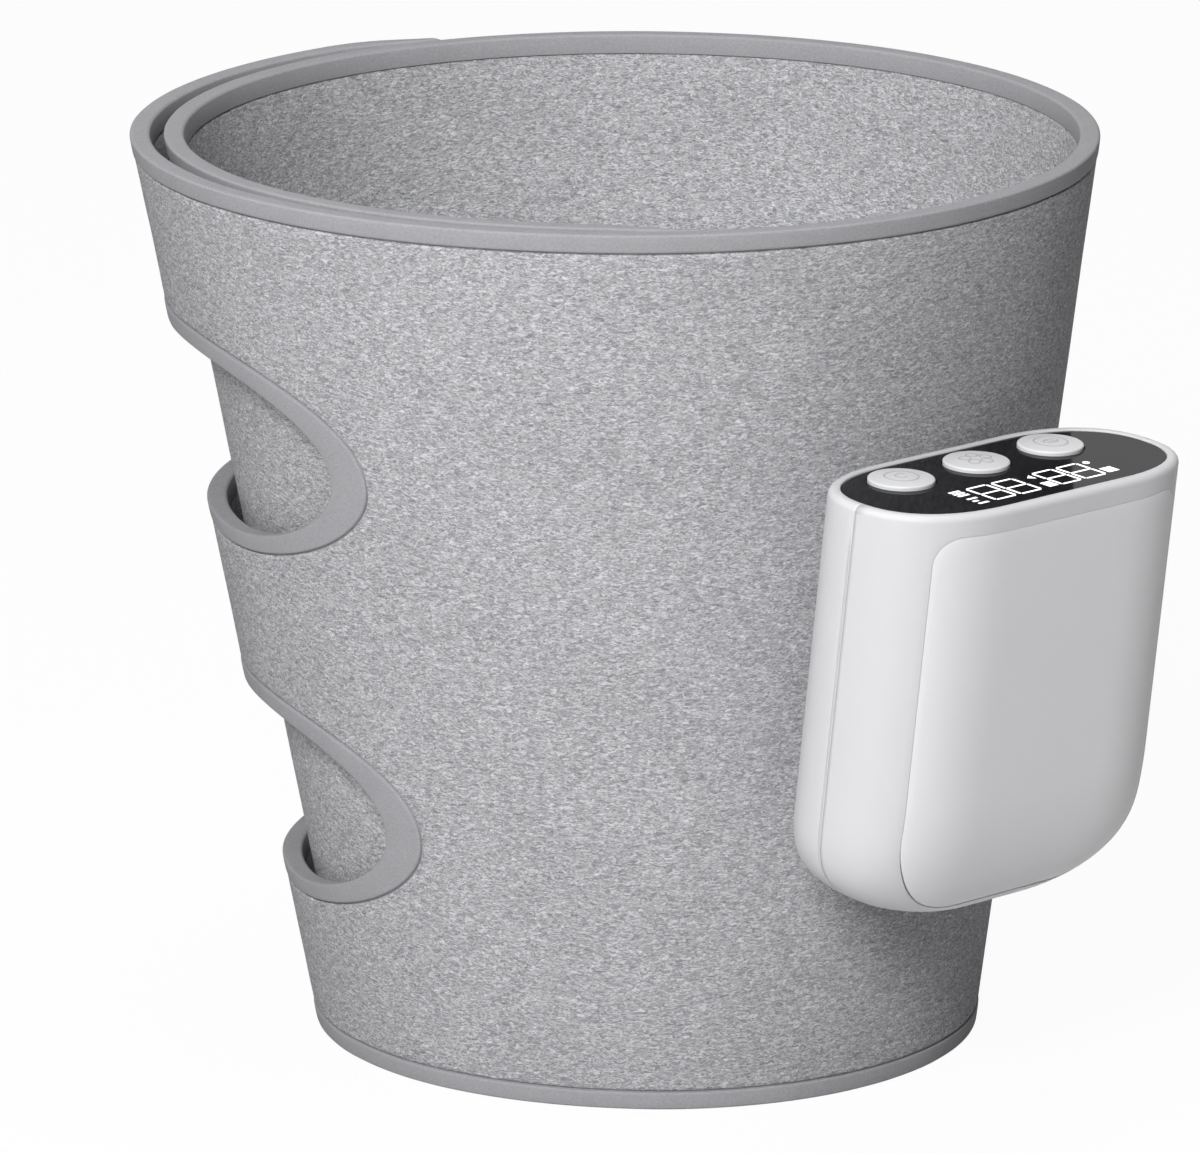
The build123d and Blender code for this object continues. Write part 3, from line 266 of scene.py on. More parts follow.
def glow_material(name, strength):
    """A lit display segment seen through the dark panel."""
    m = Nodes(name)
    level = m.ramp(m.noise(4000.0, 1.0), (0.3, 0.92), (0.7, 1.0))
    m.colour(level)
    m.link(level, m.shader.inputs["Emission Color"])
    m.set(Roughness=0.3, Emission_Strength=strength)
    return m.material


FELT = felt_material("felt", (0.228, 0.228, 0.241), (0.395, 0.395, 0.41), (0.69, 0.69, 0.715))
# painted light: the lining is the same felt as the outside, given slightly lighter greys to lift the shade
# inside the sleeve
LINING = felt_material("lining_felt", (0.228, 0.228, 0.241), (0.405, 0.405, 0.42), (0.71, 0.71, 0.735))
TAPE_CLOTH = tape_material("tape", (0.35, 0.35, 0.366))
HOOKS = plastic_material("hooks", (0.12, 0.12, 0.125), 0.6, 900.0, 0.0004)
SHELL = plastic_material("shell_plastic", (0.65, 0.65, 0.665), 0.5, shine=0.3)
# painted light: the cover is the same white plastic as the shell, given a lighter colour to brighten the
# front, which faces away from the key lamp
COVER = plastic_material("cover_plastic", (0.76, 0.76, 0.775), 0.5, shine=0.3)
CAP = plastic_material("button_plastic", (0.72, 0.72, 0.735), 0.42, shine=0.35)
GLASS = plastic_material("panel_gloss", (0.002, 0.002, 0.003), 0.08, 5000.0, 0.000001, 0.08)
ICON = plastic_material("icon_grey", (0.50, 0.50, 0.52), 0.5)
DARK = plastic_material("inner_plastic", (0.10, 0.10, 0.11), 0.5)
CHIP = plastic_material("chip_plastic", (0.025, 0.025, 0.028), 0.4)
WRAP = plastic_material("battery_film", (0.04, 0.12, 0.32), 0.3)
RUBBER = plastic_material("rubber", (0.03, 0.03, 0.033), 0.75, 1500.0, 0.00003)
HOSE = plastic_material("silicone", (0.55, 0.55, 0.53), 0.45)
FILM = plastic_material("polyimide", (0.42, 0.20, 0.03), 0.3)
STEEL = metal_material("steel", (0.56, 0.57, 0.58), 0.30)
BOARD = board_material("solder_mask")
LIT = glow_material("lit_segment", 1.0)

NODE_MATERIALS = {
    "display_panel": GLASS, "display_module": CHIP, "button_board": BOARD, "tact_switches": CHIP,
    "mode_button": CAP, "level_button": CAP, "power_button": CAP, "chassis": DARK, "battery": WRAP,
    "main_board": BOARD, "board_chips": CHIP, "buzzer": CHIP, "usb_socket": STEEL, "ribbon_cable": FILM,
    "motor_can": STEEL, "motor_end_cap": DARK, "motor_rotor": STEEL, "crank": DARK, "pump_head": DARK,
    "diaphragm": RUBBER, "motor_rings": RUBBER, "manifold": DARK, "pump_hose": HOSE,
    "pressure_sensor": CHIP, "sensor_hose": HOSE, "valve_body": STEEL, "valve_plunger": STEEL,
    "valve_spring": STEEL, "dock_plate": DARK, "air_port": DARK, "shell_screws": STEEL,
    "chassis_screws": STEEL, "dock_screws": STEEL}
for node_name, material in NODE_MATERIALS.items():
    for material_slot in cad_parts[node_name].material_slots:
        material_slot.material = material


# ------------------------ mesh helpers
def mesh_piece(name, points, faces, material, body="root", slot=None, sharp=38.0):
    """A smooth-shaded mesh that rides on a body. Where body is None it is attached to no body."""
    mesh = bpy.data.meshes.new(name)
    mesh.from_pydata([p * MM for p in points], [], faces)
    shape = bmesh.new()
    shape.from_mesh(mesh)
    bmesh.ops.remove_doubles(shape, verts=shape.verts, dist=1e-7)
    bmesh.ops.dissolve_degenerate(shape, edges=shape.edges, dist=1e-7)
    bmesh.ops.recalc_face_normals(shape, faces=shape.faces)
    if all(edge.is_manifold for edge in shape.edges) and shape.calc_volume(signed=True) < 0.0:
        bmesh.ops.reverse_faces(shape, faces=shape.faces)
    shape.to_mesh(mesh)
    shape.free()
    mesh.shade_smooth()
    mesh.set_sharp_from_angle(angle=radians(sharp))
    mesh.materials.append(material)
    piece = bpy.data.objects.new(name, mesh)
    bpy.context.scene.collection.objects.link(piece)
    if body:
        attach(piece, body)
    return piece


def strip_faces(columns, rows, around=False):
    """Quads between neighbouring columns of points, each with that many rows."""
    faces = []
    for c in range(columns - 1):
        for r in range(rows if around else rows - 1):
            a, b = c * rows + r, c * rows + (r + 1) % rows
            faces.append((a, b, b + rows, a + rows))
    return faces


def loft(loops):
    """Points and faces of a solid through closed loops, whose second half runs back along the first."""
    rows = len(loops[0])
    points = [point for loop in loops for point in loop]
    faces = strip_faces(len(loops), rows, around=True)
    last = (len(loops) - 1) * rows
    for start in (0, last):
        for i in range(rows // 2 - 1):
            faces.append((start + i, start + i + 1, start + rows - 2 - i, start + rows - 1 - i))
    return points, faces


def evenly(start, stop, step):
    count = max(1, ceil(abs(stop - start) / step))
    return [start + (stop - start) * i / count for i in range(count + 1)]


# ------------------------ sleeve: the wrap's surface
def smooth(start, stop, value):
    t = min(max((value - start) / (stop - start), 0.0), 1.0)
    return t * t * (3.0 - 2.0 * t)


def between(base, top, z):
    return base + (top - base) * z / SLEEVE_HEIGHT


def thickness(turn):
    opening = smooth(WRAP_START, WRAP_BODY, turn)
    closing = 1.0 - smooth(WRAP_END - END_TAPER, WRAP_END, turn)
    return WALL * (TIP_SHARE + (1.0 - TIP_SHARE) * min(opening, closing))


def lift(turn, z):
    if turn < 360.0:
        gap = between(*INNER_GAP, z)
        back = 1.0 - smooth(LAP_START, LAP_FULL, turn)
        end = 1.0 - smooth(WRAP_START, WRAP_BODY, turn)
        return -(WALL + gap) * back + (gap - END_CLEARANCE) * end
    lap = turn - 360.0
    gap = between(*OUTER_GAP, z)
    gap += (LAP_CLEARANCE - gap) * smooth(LAP_CLOSE, LAP_END, lap)
    return (thickness(turn) + gap) * smooth(LAP_START, LAP_FULL, lap)


def radius_at(turn, z):
    return between(BASE_RADIUS, TOP_RADIUS, z) + lift(turn, z)


def surface(turn, z, out=0.0):
    """A point of the wrap, that far outside its outer face."""
    radius = radius_at(turn, z) + out
    a = radians(turn)
    x, y = (between(0, shift, z) for shift in TOP_SHIFT)
    place = Vector((x - sin(a) * radius, y - cos(a) * radius, z))
    wave = sum(height * noise.noise(place * scale) for height, scale in WAVES)
    return place + Vector((-sin(a), -cos(a), 0.0)) * wave


# ------------------------ sleeve: felt slabs
BORDER = ((0.0, -0.55), (0.10, -0.20), (0.30, -0.06), (0.70, 0.0))     # (from the edge, out) of a felt edge


def felt_loop(turn, low, high, outer, inner, soft=(1.0, 1.0), rows=18):
    """One upright section of the felt: its outer face, up, and its inner face, down."""
    heights = [(low + e, drop * soft[0]) for e, drop in BORDER]
    edge = BORDER[-1][0]
    inside = [low + edge + (high - low - 2 * edge) * i / rows for i in range(1, rows)]
    heights += [(z, 0.0) for z in inside]
    heights += [(high - e, drop * soft[1]) for e, drop in reversed(BORDER)]
    outside = [surface(turn, z, outer + drop) for z, drop in heights]
    # the inner face is rounded too where the felt is the whole wall, and flat where it meets the lining
    back = [surface(turn, z, inner - (drop if inner < -0.9 * thickness(turn) else 0.0))
            for z, drop in reversed(heights)]
    return outside + back


def make_body():
    turns = evenly(WRAP_BODY + END_GROOVE, SPLIT_TURN, FELT_STEP)
    low, high = TAPE + GROOVE, SLEEVE_HEIGHT - TAPE - GROOVE
    loops = [felt_loop(t, low, high, 0.0, -FELT_DEPTH) for t in turns]
    felt = mesh_piece("sleeve_felt", *loft(loops), FELT, slot="felt")
    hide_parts("outer_fabric", "foam_pad", "air_bladder")
    loops = [felt_loop(t, low, high, -FELT_DEPTH, -WALL) for t in turns]
    lining = mesh_piece("sleeve_lining", *loft(loops), LINING, slot="lining")
    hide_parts("lining")


# ------------------------ sleeve: edge tapes
def tape_loop(edge, border):
    """A section of tape folded over an edge, from its border on the outer face to that on the inner one."""
    def place(share_point, distance, out, inner):
        (t0, z0), (t1, z1) = edge, share_point
        width = sqrt((radians(t1 - t0) * radius_at(t0, z0)) ** 2 + (z1 - z0) ** 2)
        share = distance / width
        t, z = t0 + (t1 - t0) * share, z0 + (z1 - z0) * share
        return surface(t, z, -thickness(t) - out if inner else out)

    (t0, z0), (t1, z1) = edge, border
    width = sqrt((radians(t1 - t0) * radius_at(t0, z0)) ** 2 + (z1 - z0) ** 2)
    bend = min(TAPE_BEND, thickness(t0) / 2.0 - 0.1)
    fold = [(bend * (1.0 - sin(a)), TAPE_PUFF - (bend + TAPE_PUFF) * (1.0 - cos(a)))
            for a in (radians(d) for d in (0, 18, 36, 54, 72, 90))]
    fold += [(0.0, -(bend + (thickness(t0) / 2.0 - bend) * share)) for share in (0.45, 0.9)]
    front = [(width + 0.75, -0.62), (width + 0.08, -0.50), (width, -0.06), (width - 0.07, 0.06),
             (width - 0.22, TAPE_PUFF - 0.02), (width - 0.5, TAPE_PUFF), (width * 0.5, TAPE_PUFF + 0.02)]
    inner = width + INNER_EXTRA
    back = [(inner + 0.75, -0.5), (inner + 0.02, -0.30), (inner, 0.0), (inner - 0.07, 0.10),
            (inner - 0.3, TAPE_PUFF), (inner * 0.5, TAPE_PUFF + 0.02)]
    outside = [place(border, d, out, False) for d, out in front + fold]
    inside = [place(border, d, out, True) for d, out in reversed(back + fold[:-1])]
    return outside + inside


def tip_radius(notch):
    return radius_at(notch["turn"], notch["height"])


def notch_edge(notch, leg):
    """(edge, border) of a notch's tape from its tip to where its leg runs straight."""
    turn, height, (rise, run) = notch["turn"], notch["height"], notch[leg]
    sign, wide = (1, TAPE_ABOVE) if leg == "rise" else (-1, TAPE_BELOW)
    tip = tip_radius(notch)
    pairs = []
    for i in range(NOTCH_STEPS + 1):
        a = radians(90.0 * i / NOTCH_STEPS)
        x, y = run * (1 - cos(a)), rise * sin(a)
        nx, ny = (x - run) / run ** 2, y / rise ** 2
        length = sqrt(nx * nx + ny * ny)
        nx, ny = nx / length, ny / length
        big_x, big_y = run + TAPE_TIP, rise + wide
        qa = (nx / big_x) ** 2 + (ny / big_y) ** 2
        qb = 2 * ((x - run) * nx / big_x ** 2 + y * ny / big_y ** 2)
        qc = ((x - run) / big_x) ** 2 + (y / big_y) ** 2 - 1
        t = (-qb + sqrt(qb * qb - 4 * qa * qc)) / (2 * qa)
        pairs.append(tuple((turn + degrees(px / tip), height + sign * py)
                           for px, py in ((x, y), (x + nx * t, y + ny * t))))
    return pairs


def straight(z, start, stop, wide, inward):
    """Pairs along a level edge; inward is +1 where the felt lies above it."""
    return [((t, z), (t, z + inward * wide)) for t in evenly(start, stop, FELT_STEP)]


def end_radius(z):
    return radius_at(WRAP_END - END_MARGIN, z)


def corner_turn(radius, z):
    """The turn that lies that many millimetres before the tabs' ends."""
    return WRAP_END - degrees(radius / end_radius(z))


def rounded(z, radius, wide0, wide1, start, stop):
    """Pairs round a corner of a tab's end, between two angles; z is the height of the corner's centre."""
    pairs = []
    centre = corner_turn(radius, z)
    for i in range(CORNER_STEPS + 1):
        a = radians(start + (stop - start) * i / CORNER_STEPS)
        wide = wide0 + (wide1 - wide0) * i / CORNER_STEPS
        pairs.append(tuple((centre + degrees(r * cos(a) / end_radius(z)), z + r * sin(a))
                           for r in (radius, max(radius - wide, 0.05))))
    return pairs


def upright(z0, z1, wide):
    return [((WRAP_END, z), (corner_turn(wide, z), z)) for z in evenly(z0, z1, UPRIGHT_STEP)][1:-1]


def run_turn(notch, run):
    return notch["turn"] + degrees(run / tip_radius(notch))


def end_path(top, bottom, top_radius, bottom_radius, top_wide, bottom_wide):
    """Round a tab's end, from its upper edge to its lower one."""
    path = rounded(top - top_radius, top_radius, top_wide, TAPE, 90.0, 0.0)
    path += upright(top - top_radius, bottom + bottom_radius, TAPE)
    return path + rounded(bottom + bottom_radius, bottom_radius, TAPE, bottom_wide, 0.0, -90.0)


def lower_side(notch):
    """Along the edge above a notch, from the tab's end back to the notch's tip."""
    rise, run = notch["rise"]
    z = notch["height"] + rise
    path = straight(z, corner_turn(CORNER, z + CORNER), run_turn(notch, run), TAPE_ABOVE, 1)[1:-1]
    return path + list(reversed(notch_edge(notch, "rise")))


def upper_side(notch):
    """Along the edge below a notch, from its tip to the tab's end."""
    fall, run = notch["fall"]
    z = notch["height"] - fall
    path = straight(z, run_turn(notch, run), corner_turn(CORNER, z - CORNER), TAPE_BELOW, -1)[1:-1]
    return notch_edge(notch, "fall") + path


def notch_heights(notch):
    return notch["height"] + notch["rise"][0], notch["height"] - notch["fall"][0]


def border_height(notch, leg, turn):
    """How far the felt's border lies from a notch's middle line, and 0 before the notch begins."""
    rise, run = notch[leg]
    wide = (TAPE_ABOVE if leg == "rise" else TAPE_BELOW) + GROOVE
    lead = TAPE_TIP + GROOVE
    tip = tip_radius(notch)
    x = radians(turn - notch["turn"]) * tip
    if x <= -lead:
        return 0.0
    reach = (rise + wide) * sqrt(max(1.0 - (max(run - x, 0.0) / (run + lead)) ** 2, 0.0))
    end = radians(WRAP_END - notch["turn"]) * tip - TAPE - GROOVE
    bend = CORNER - TAPE - GROOVE
    over = x - (end - bend)
    if over > 0.0:
        reach += bend - sqrt(max(bend ** 2 - over ** 2, 0.0))
    return reach


def tab_turns(*notch_legs):
    """The turns of a tab's felt sections, close together where its borders curve."""
    turns = set()
    end = corner_turn(TAPE + GROOVE, SLEEVE_HEIGHT / 2.0)
    for notch, leg in notch_legs:
        tip = tip_radius(notch)
        run, lead = notch[leg][1], TAPE_TIP + GROOVE
        for i in range(TAB_STEPS + 1):
            x = -lead + (run + lead) * (1 - cos(radians(90.0 * i / TAB_STEPS)))
            turns.add(round(notch["turn"] + degrees(x / tip), 3))
    start = max(turns)
    turns.update(evenly(start, end - END_RUN, FELT_STEP))
    turns.update(end - END_RUN * (1 - sin(radians(9.0 * i))) for i in range(11))
    ordered, kept = sorted(t for t in turns if t <= end), [SPLIT_TURN]
    for t in ordered:
        if t - kept[-1] > 0.02:
            kept.append(t)
    return kept


def tab_felt(name, above, below):
    """A tab's felt slab. above and below are notches, or None at the sleeve's own edge."""
    turns = tab_turns(*([(above, "fall")] if above else []) + ([(below, "rise")] if below else []))
    end = turns[-1]
    loops = []
    for t in turns:
        over = max(radians(t - end) * END_RADIUS + FELT_CORNER, 0.0)
        round_off = FELT_CORNER - sqrt(max(FELT_CORNER ** 2 - over ** 2, 0.0))
        low, high = TAPE + GROOVE + round_off, SLEEVE_HEIGHT - TAPE - GROOVE - round_off
        soft = [1.0, 1.0]
        if below:
            reach = border_height(below, "rise", t)
            low, soft[0] = below["height"] + reach, min(reach / SOFT_REACH, 1.0)
        if above:
            reach = border_height(above, "fall", t)
            high, soft[1] = above["height"] - reach, min(reach / SOFT_REACH, 1.0)
        loops.append(felt_loop(t, low, high, 0.0, -thickness(t), soft, rows=12))
    return mesh_piece(name, *loft(loops), FELT, body=None, slot="felt", sharp=50.0)


def blend_tab(piece, height):
    """Bakes a tab's piece's transform into its mesh. The points where the tab would peel open are computed
    but not used, so the piece is not bent.
    """
    surface(BEND_START, height) * MM
    surface(BEND_END, height) * MM
    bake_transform(piece)


def make_tabs():
    upper_rise, upper_fall = notch_heights(UPPER)
    lower_rise, lower_fall = notch_heights(LOWER)
    corner_height = SLEEVE_HEIGHT - OUTER_CORNER
    top_path = straight(SLEEVE_HEIGHT, SPLIT_TURN, corner_turn(OUTER_CORNER, corner_height), TAPE, -1)
    top_path += end_path(SLEEVE_HEIGHT, upper_rise, OUTER_CORNER, CORNER, TAPE, TAPE_ABOVE)[1:]
    top_path += lower_side(UPPER)
    middle_path = upper_side(UPPER) + end_path(upper_fall, lower_rise, CORNER, CORNER, TAPE_BELOW, TAPE_ABOVE)
    middle_path += lower_side(LOWER)
    bottom_path = upper_side(LOWER) + end_path(lower_fall, 0.0, CORNER, OUTER_CORNER, TAPE_BELOW, TAPE)
    bottom_path += straight(0.0, corner_turn(OUTER_CORNER, OUTER_CORNER), SPLIT_TURN, TAPE, 1)[1:]
    tabs = (("top", None, UPPER, top_path, (upper_rise + TAPE_ABOVE, SLEEVE_HEIGHT - TAPE)),
            ("middle", UPPER, LOWER, middle_path, (lower_rise + TAPE_ABOVE, upper_fall - TAPE_BELOW)),
            ("bottom", LOWER, None, bottom_path, (TAPE, lower_fall - TAPE_BELOW)))
    for name, above, below, path, (low, high) in tabs:
        body = f"{name}_tab"
        middle = (low + high) / 2.0
        felt = tab_felt(f"{name}_tab_felt", above, below)
        blend_tab(felt, middle)
        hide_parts(body)
        tape = mesh_piece(f"{name}_tab_tape", *loft([tape_loop(e, b) for e, b in path]), TAPE_CLOTH,
                          body=None, slot="binding")
        blend_tab(tape, middle)
        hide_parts(f"{name}_tab_binding")
        make_pad(name, low + PAD_MARGIN, high - PAD_MARGIN)


def make_pad(name, low, high):
    """A hook pad under a tab, with rounded corners and a thin edge."""
    loops = []
    start, stop = PAD_TURNS
    for t in evenly(start, stop, 1.0):
        run = min(radians(t - start), radians(stop - t)) * radius_at(t, low)
        cut = PAD_CORNER - sqrt(max(PAD_CORNER ** 2 - max(PAD_CORNER - run, 0.0) ** 2, 0.0))
        heights = [low + cut + (high - low - 2 * cut) * i / PAD_ROWS for i in range(PAD_ROWS + 1)]
        face = [surface(t, z, -thickness(t) - PAD_CLEARANCE) for z in heights]
        back = [surface(t, z, -thickness(t) - PAD_THICKNESS) for z in reversed(heights)]
        loops.append(face + back)
    pad = mesh_piece(f"{name}_hooks", *loft(loops), HOOKS, body=f"{name}_tab", slot="hooks")
    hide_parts(f"{name}_hook_pad")


def make_tapes():
    for name, z, inward in (("top_tape", SLEEVE_HEIGHT, -1), ("bottom_tape", 0.0, 1)):
        path = straight(z, WRAP_START, SPLIT_TURN, TAPE, inward)
        tape = mesh_piece(name, *loft([tape_loop(e, b) for e, b in path]), TAPE_CLOTH, slot="binding")
        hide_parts(name.replace("tape", "binding"))
        if z == 0.0:
            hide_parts("notch_binding")
    margin = 0.9 * TAPE
    heights = evenly(margin, SLEEVE_HEIGHT - margin, INNER_END_STEP)
    path = [((WRAP_START, z), (WRAP_BODY, z)) for z in heights]
    tape = mesh_piece("inner_end_tape", *loft([tape_loop(e, b) for e, b in path]), TAPE_CLOTH, slot="binding")
    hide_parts("inner_end_binding")


# ------------------------ pump: the housing's surface
def depth_at(w):
    """(depth, narrowing) at a place w along the housing's profile."""
    if w <= BELLY:
        return w, 1.0
    phi = min((w - BELLY) / BELLY_RUN, 1.0) * pi / 2
    power = 2.0 / BELLY_POWER
    return BELLY + (HOUSING_HEIGHT - BELLY) * sin(phi) ** power, max(cos(phi), 0.0) ** power


def profile_at(depth):
    """The place along the profile of a depth below the panel."""
    if depth <= BELLY:
        return depth
    drop = min((depth - BELLY) / (HOUSING_HEIGHT - BELLY), 1.0)
    return BELLY + BELLY_RUN * asin(drop ** (BELLY_POWER / 2.0)) / (pi / 2)


def half_depth_at(depth, side):
    """From the housing's middle plane to its front (side -1) or back."""
    across, height = REAR_ROUND if side > 0 else FRONT_ROUND
    dip = min(max(depth - (HOUSING_HEIGHT - height), 0.0) / height, 0.999999)
    return HALF_DEPTH - across * (1.0 - sqrt(1.0 - dip ** 2))


def housing_raw(p, w, side):
    """A point of the housing; p runs from 0 at the right seam to 1 at the left one, side is -1 in front."""
    depth, narrow = depth_at(w)
    half_depth = half_depth_at(depth, side)
    hs, end = HALF_STRAIGHT * narrow, (HALF_LENGTH - HALF_STRAIGHT) * narrow
    if END_SHARE < p < 1.0 - END_SHARE:
        x, y = hs * (0.5 - p) / (0.5 - END_SHARE), half_depth
    else:
        near = p if p < 0.5 else 1.0 - p
        a = near / END_SHARE * pi / 2
        x = (hs + end * max(cos(a), 0.0) ** (2.0 / END_POWER)) * (1 if p < 0.5 else -1)
        y = half_depth * max(sin(a), 0.0) ** (2.0 / END_POWER)
    return Vector((x, side * y, -depth))


def housing_normal(p, w, side):
    """The outward direction, from the housing's own equation."""
    point = housing_raw(p, w, side)
    depth, narrow = -point.z, depth_at(w)[1]
    if narrow < 0.02:
        return Vector((0, 0, -1))

    def value(x, y, d):
        drop = min(max(d - BELLY, 0.0) / (HOUSING_HEIGHT - BELLY), 0.99999)
        n = (1.0 - drop ** BELLY_POWER) ** (1.0 / BELLY_POWER)
        over = max(abs(x) - HALF_STRAIGHT * n, 0.0) / ((HALF_LENGTH - HALF_STRAIGHT) * n)
        return over ** END_POWER + (abs(y) / half_depth_at(d, side)) ** END_POWER

    e = 0.01
    x, y = point.x, point.y
    grad = Vector((value(x + e, y, depth) - value(x - e, y, depth),
                   value(x, y + e, depth) - value(x, y - e, depth),
                   -(value(x, y, depth + e) - value(x, y, depth - e))))
    return grad.normalized()


def housing(p, w, side, inset=0.0):
    point = housing_raw(p, w, side)
    return point - housing_normal(p, w, side) * inset if inset else point


def rim_start(p, side):
    """The place on the profile where the rim's rounding begins."""
    return PANEL_SLOPE * housing_raw(p, 0.0, side).y + RIM_ROUND


def seam_inset(p):
    """The thin groove where the two shells meet."""
    gap = min(p, 1.0 - p)
    return 0.5 if gap < SEAM_SHARE else (0.08 if gap < SEAM_SHARE * 2.2 else 0.0)


SEAM_COLUMNS = [0.0, SEAM_SHARE * 0.9, SEAM_SHARE * 1.1, SEAM_SHARE * 2.5, 0.018, 0.028]
COLUMN_START, END_COLUMNS, MIDDLE_COLUMNS = 0.04, 22, 12
REAR_START, REAR_STEP, BELLY_STEP = 4.0, 3.5, 1.6       # the rear shell's rows, down its profile
SEAM_FADE = (3.0, 5.0)      # where the seam's groove deepens, below the rim
FRONT_SHARES = [0.0, 0.03, 0.08] + [0.16 + 0.84 * i / 9 for i in range(10)]    # rows, border to recess
RECESS_EDGE = ((0.04, 0.0), (0.01, 0.01), (0.0, 0.05), (0.0, COVER_RECESS))     # (grow, inset)
COVER_EDGE = ((0.09, 0.0), (0.06, 0.01), (0.05, 0.05), (0.05, COVER_BACK))      # (shrink, inset)


def shell_columns():
    """The rear shell's columns from seam to seam, close together beside the seams."""
    columns = SEAM_COLUMNS + [COLUMN_START + (END_SHARE - COLUMN_START) * i / END_COLUMNS
                              for i in range(END_COLUMNS + 1)]
    middle = [END_SHARE + (1.0 - 2 * END_SHARE) * i / MIDDLE_COLUMNS for i in range(1, MIDDLE_COLUMNS)]
    return columns + middle + [1.0 - p for p in reversed(columns)]


def rim_profile():
    """(inset, depth) from the panel's recess over the rim to the outside wall, in the panel's plane."""
    arc = [radians(90.0 - 90.0 * i / 6) for i in range(7)]
    profile = [(RIM_WIDTH - inset, depth) for inset, depth in RIM_LIP]
    return profile + [(RIM_ROUND * (1 - cos(a)), RIM_ROUND * (1 - sin(a))) for a in arc]


def rim_point(p, side, inset, depth):
    """A point of the rim: on the panel's plane, set in from the housing's outline and down."""
    point = housing_raw(p, 0.0, side)
    out = housing_normal(p, 0.0, side)
    flat = Vector((point.x - out.x * inset, point.y - out.y * inset))
    return Vector((flat.x, flat.y, -PANEL_SLOPE * flat.y - depth))


def place_pump(points):
    return [PUMP @ p for p in points]


def solidify(piece, wall):
    modifier = piece.modifiers.new("wall", "SOLIDIFY")
    modifier.thickness = wall * MM
    modifier.offset = -1.0


def make_rear_shell():
    columns = shell_columns()
    rows = evenly(REAR_START, BELLY, REAR_STEP) + evenly(BELLY, BELLY + BELLY_RUN, BELLY_STEP)[1:]
    points = []
    for p in columns:
        points += [rim_point(p, 1, i, d) for i, d in rim_profile()]
        points += [housing(p, w, 1, seam_inset(p) * smooth(*SEAM_FADE, w)) for w in rows]
    height = len(points) // len(columns)
    piece = mesh_piece("pump_rear", place_pump(points), strip_faces(len(columns), height), SHELL,
                       slot="white_plastic", sharp=50.0)
    solidify(piece, REAR_WALL)
    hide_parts("rear_shell")


def cover_outline(grow, slot=0.0):
    """(x, depth) round the cover's outline, from the middle of its top edge and clockwise from the front."""
    top, bottom, half = COVER_TOP - grow, COVER_BOTTOM + grow - slot, COVER_HALF + grow
    r1, r2 = COVER_CORNERS[0] + grow, COVER_CORNERS[1] + grow
    turns = [radians(90.0 * i / OUTLINE_CORNER) for i in range(1, OUTLINE_CORNER + 1)]
    right = [(x, top) for x in evenly(0.0, half - r1, OUTLINE_STEP)]
    right += [(half - r1 + r1 * sin(a), top + r1 - r1 * cos(a)) for a in turns]
    right += [(half, d) for d in evenly(top + r1, bottom - r2, OUTLINE_STEP)[1:]]
    right += [(half - r2 + r2 * cos(a), bottom - r2 + r2 * sin(a)) for a in turns]
    right += [(x, bottom) for x in evenly(half - r2, 0.0, OUTLINE_STEP)[1:]]
    return right + [(-x, d) for x, d in reversed(right[1:-1])]


def outline_place(x, depth):
    """(p, w) of a point of the front that is given by its x and depth."""
    w = profile_at(depth)
    narrow = depth_at(w)[1]
    hs, end = HALF_STRAIGHT * narrow, (HALF_LENGTH - HALF_STRAIGHT) * narrow
    if abs(x) <= hs:
        return 0.5 - x / hs * (0.5 - END_SHARE), w
    share = min((abs(x) - hs) / end, 1.0)
    near = END_SHARE * acos(share ** (END_POWER / 2.0)) / (pi / 2)
    return (near if x > 0 else 1.0 - near), w


def front_boundary(count_top, count_side, count_bottom):
    """(p, w) round the front shell's border: rim, right seam, bottom, left seam, from the rim's middle."""
    def rim(p):
        return p, rim_start(p, -1)
    end = BELLY + BELLY_RUN
    right = [rim(0.5 - 0.5 * i / count_top) for i in range(count_top + 1)]
    low = rim(0.0)[1]
    right += [(0.0, low + (end - low) * i / count_side) for i in range(1, count_side + 1)]
    right += [(0.5 * i / count_bottom, end) for i in range(1, count_bottom + 1)]
    return right + [(1.0 - p, w) for p, w in reversed(right[1:-1])]


def ring_faces(previous, current):
    """Quads between two loops of points."""
    count = len(current)
    return [(previous[k], current[k], current[(k + 1) % count], previous[(k + 1) % count])
            for k in range(count)]


def nearest_place(outline, x, depth):
    return min(range(len(outline)), key=lambda i: abs(outline[i][0] - x) + abs(outline[i][1] - depth))


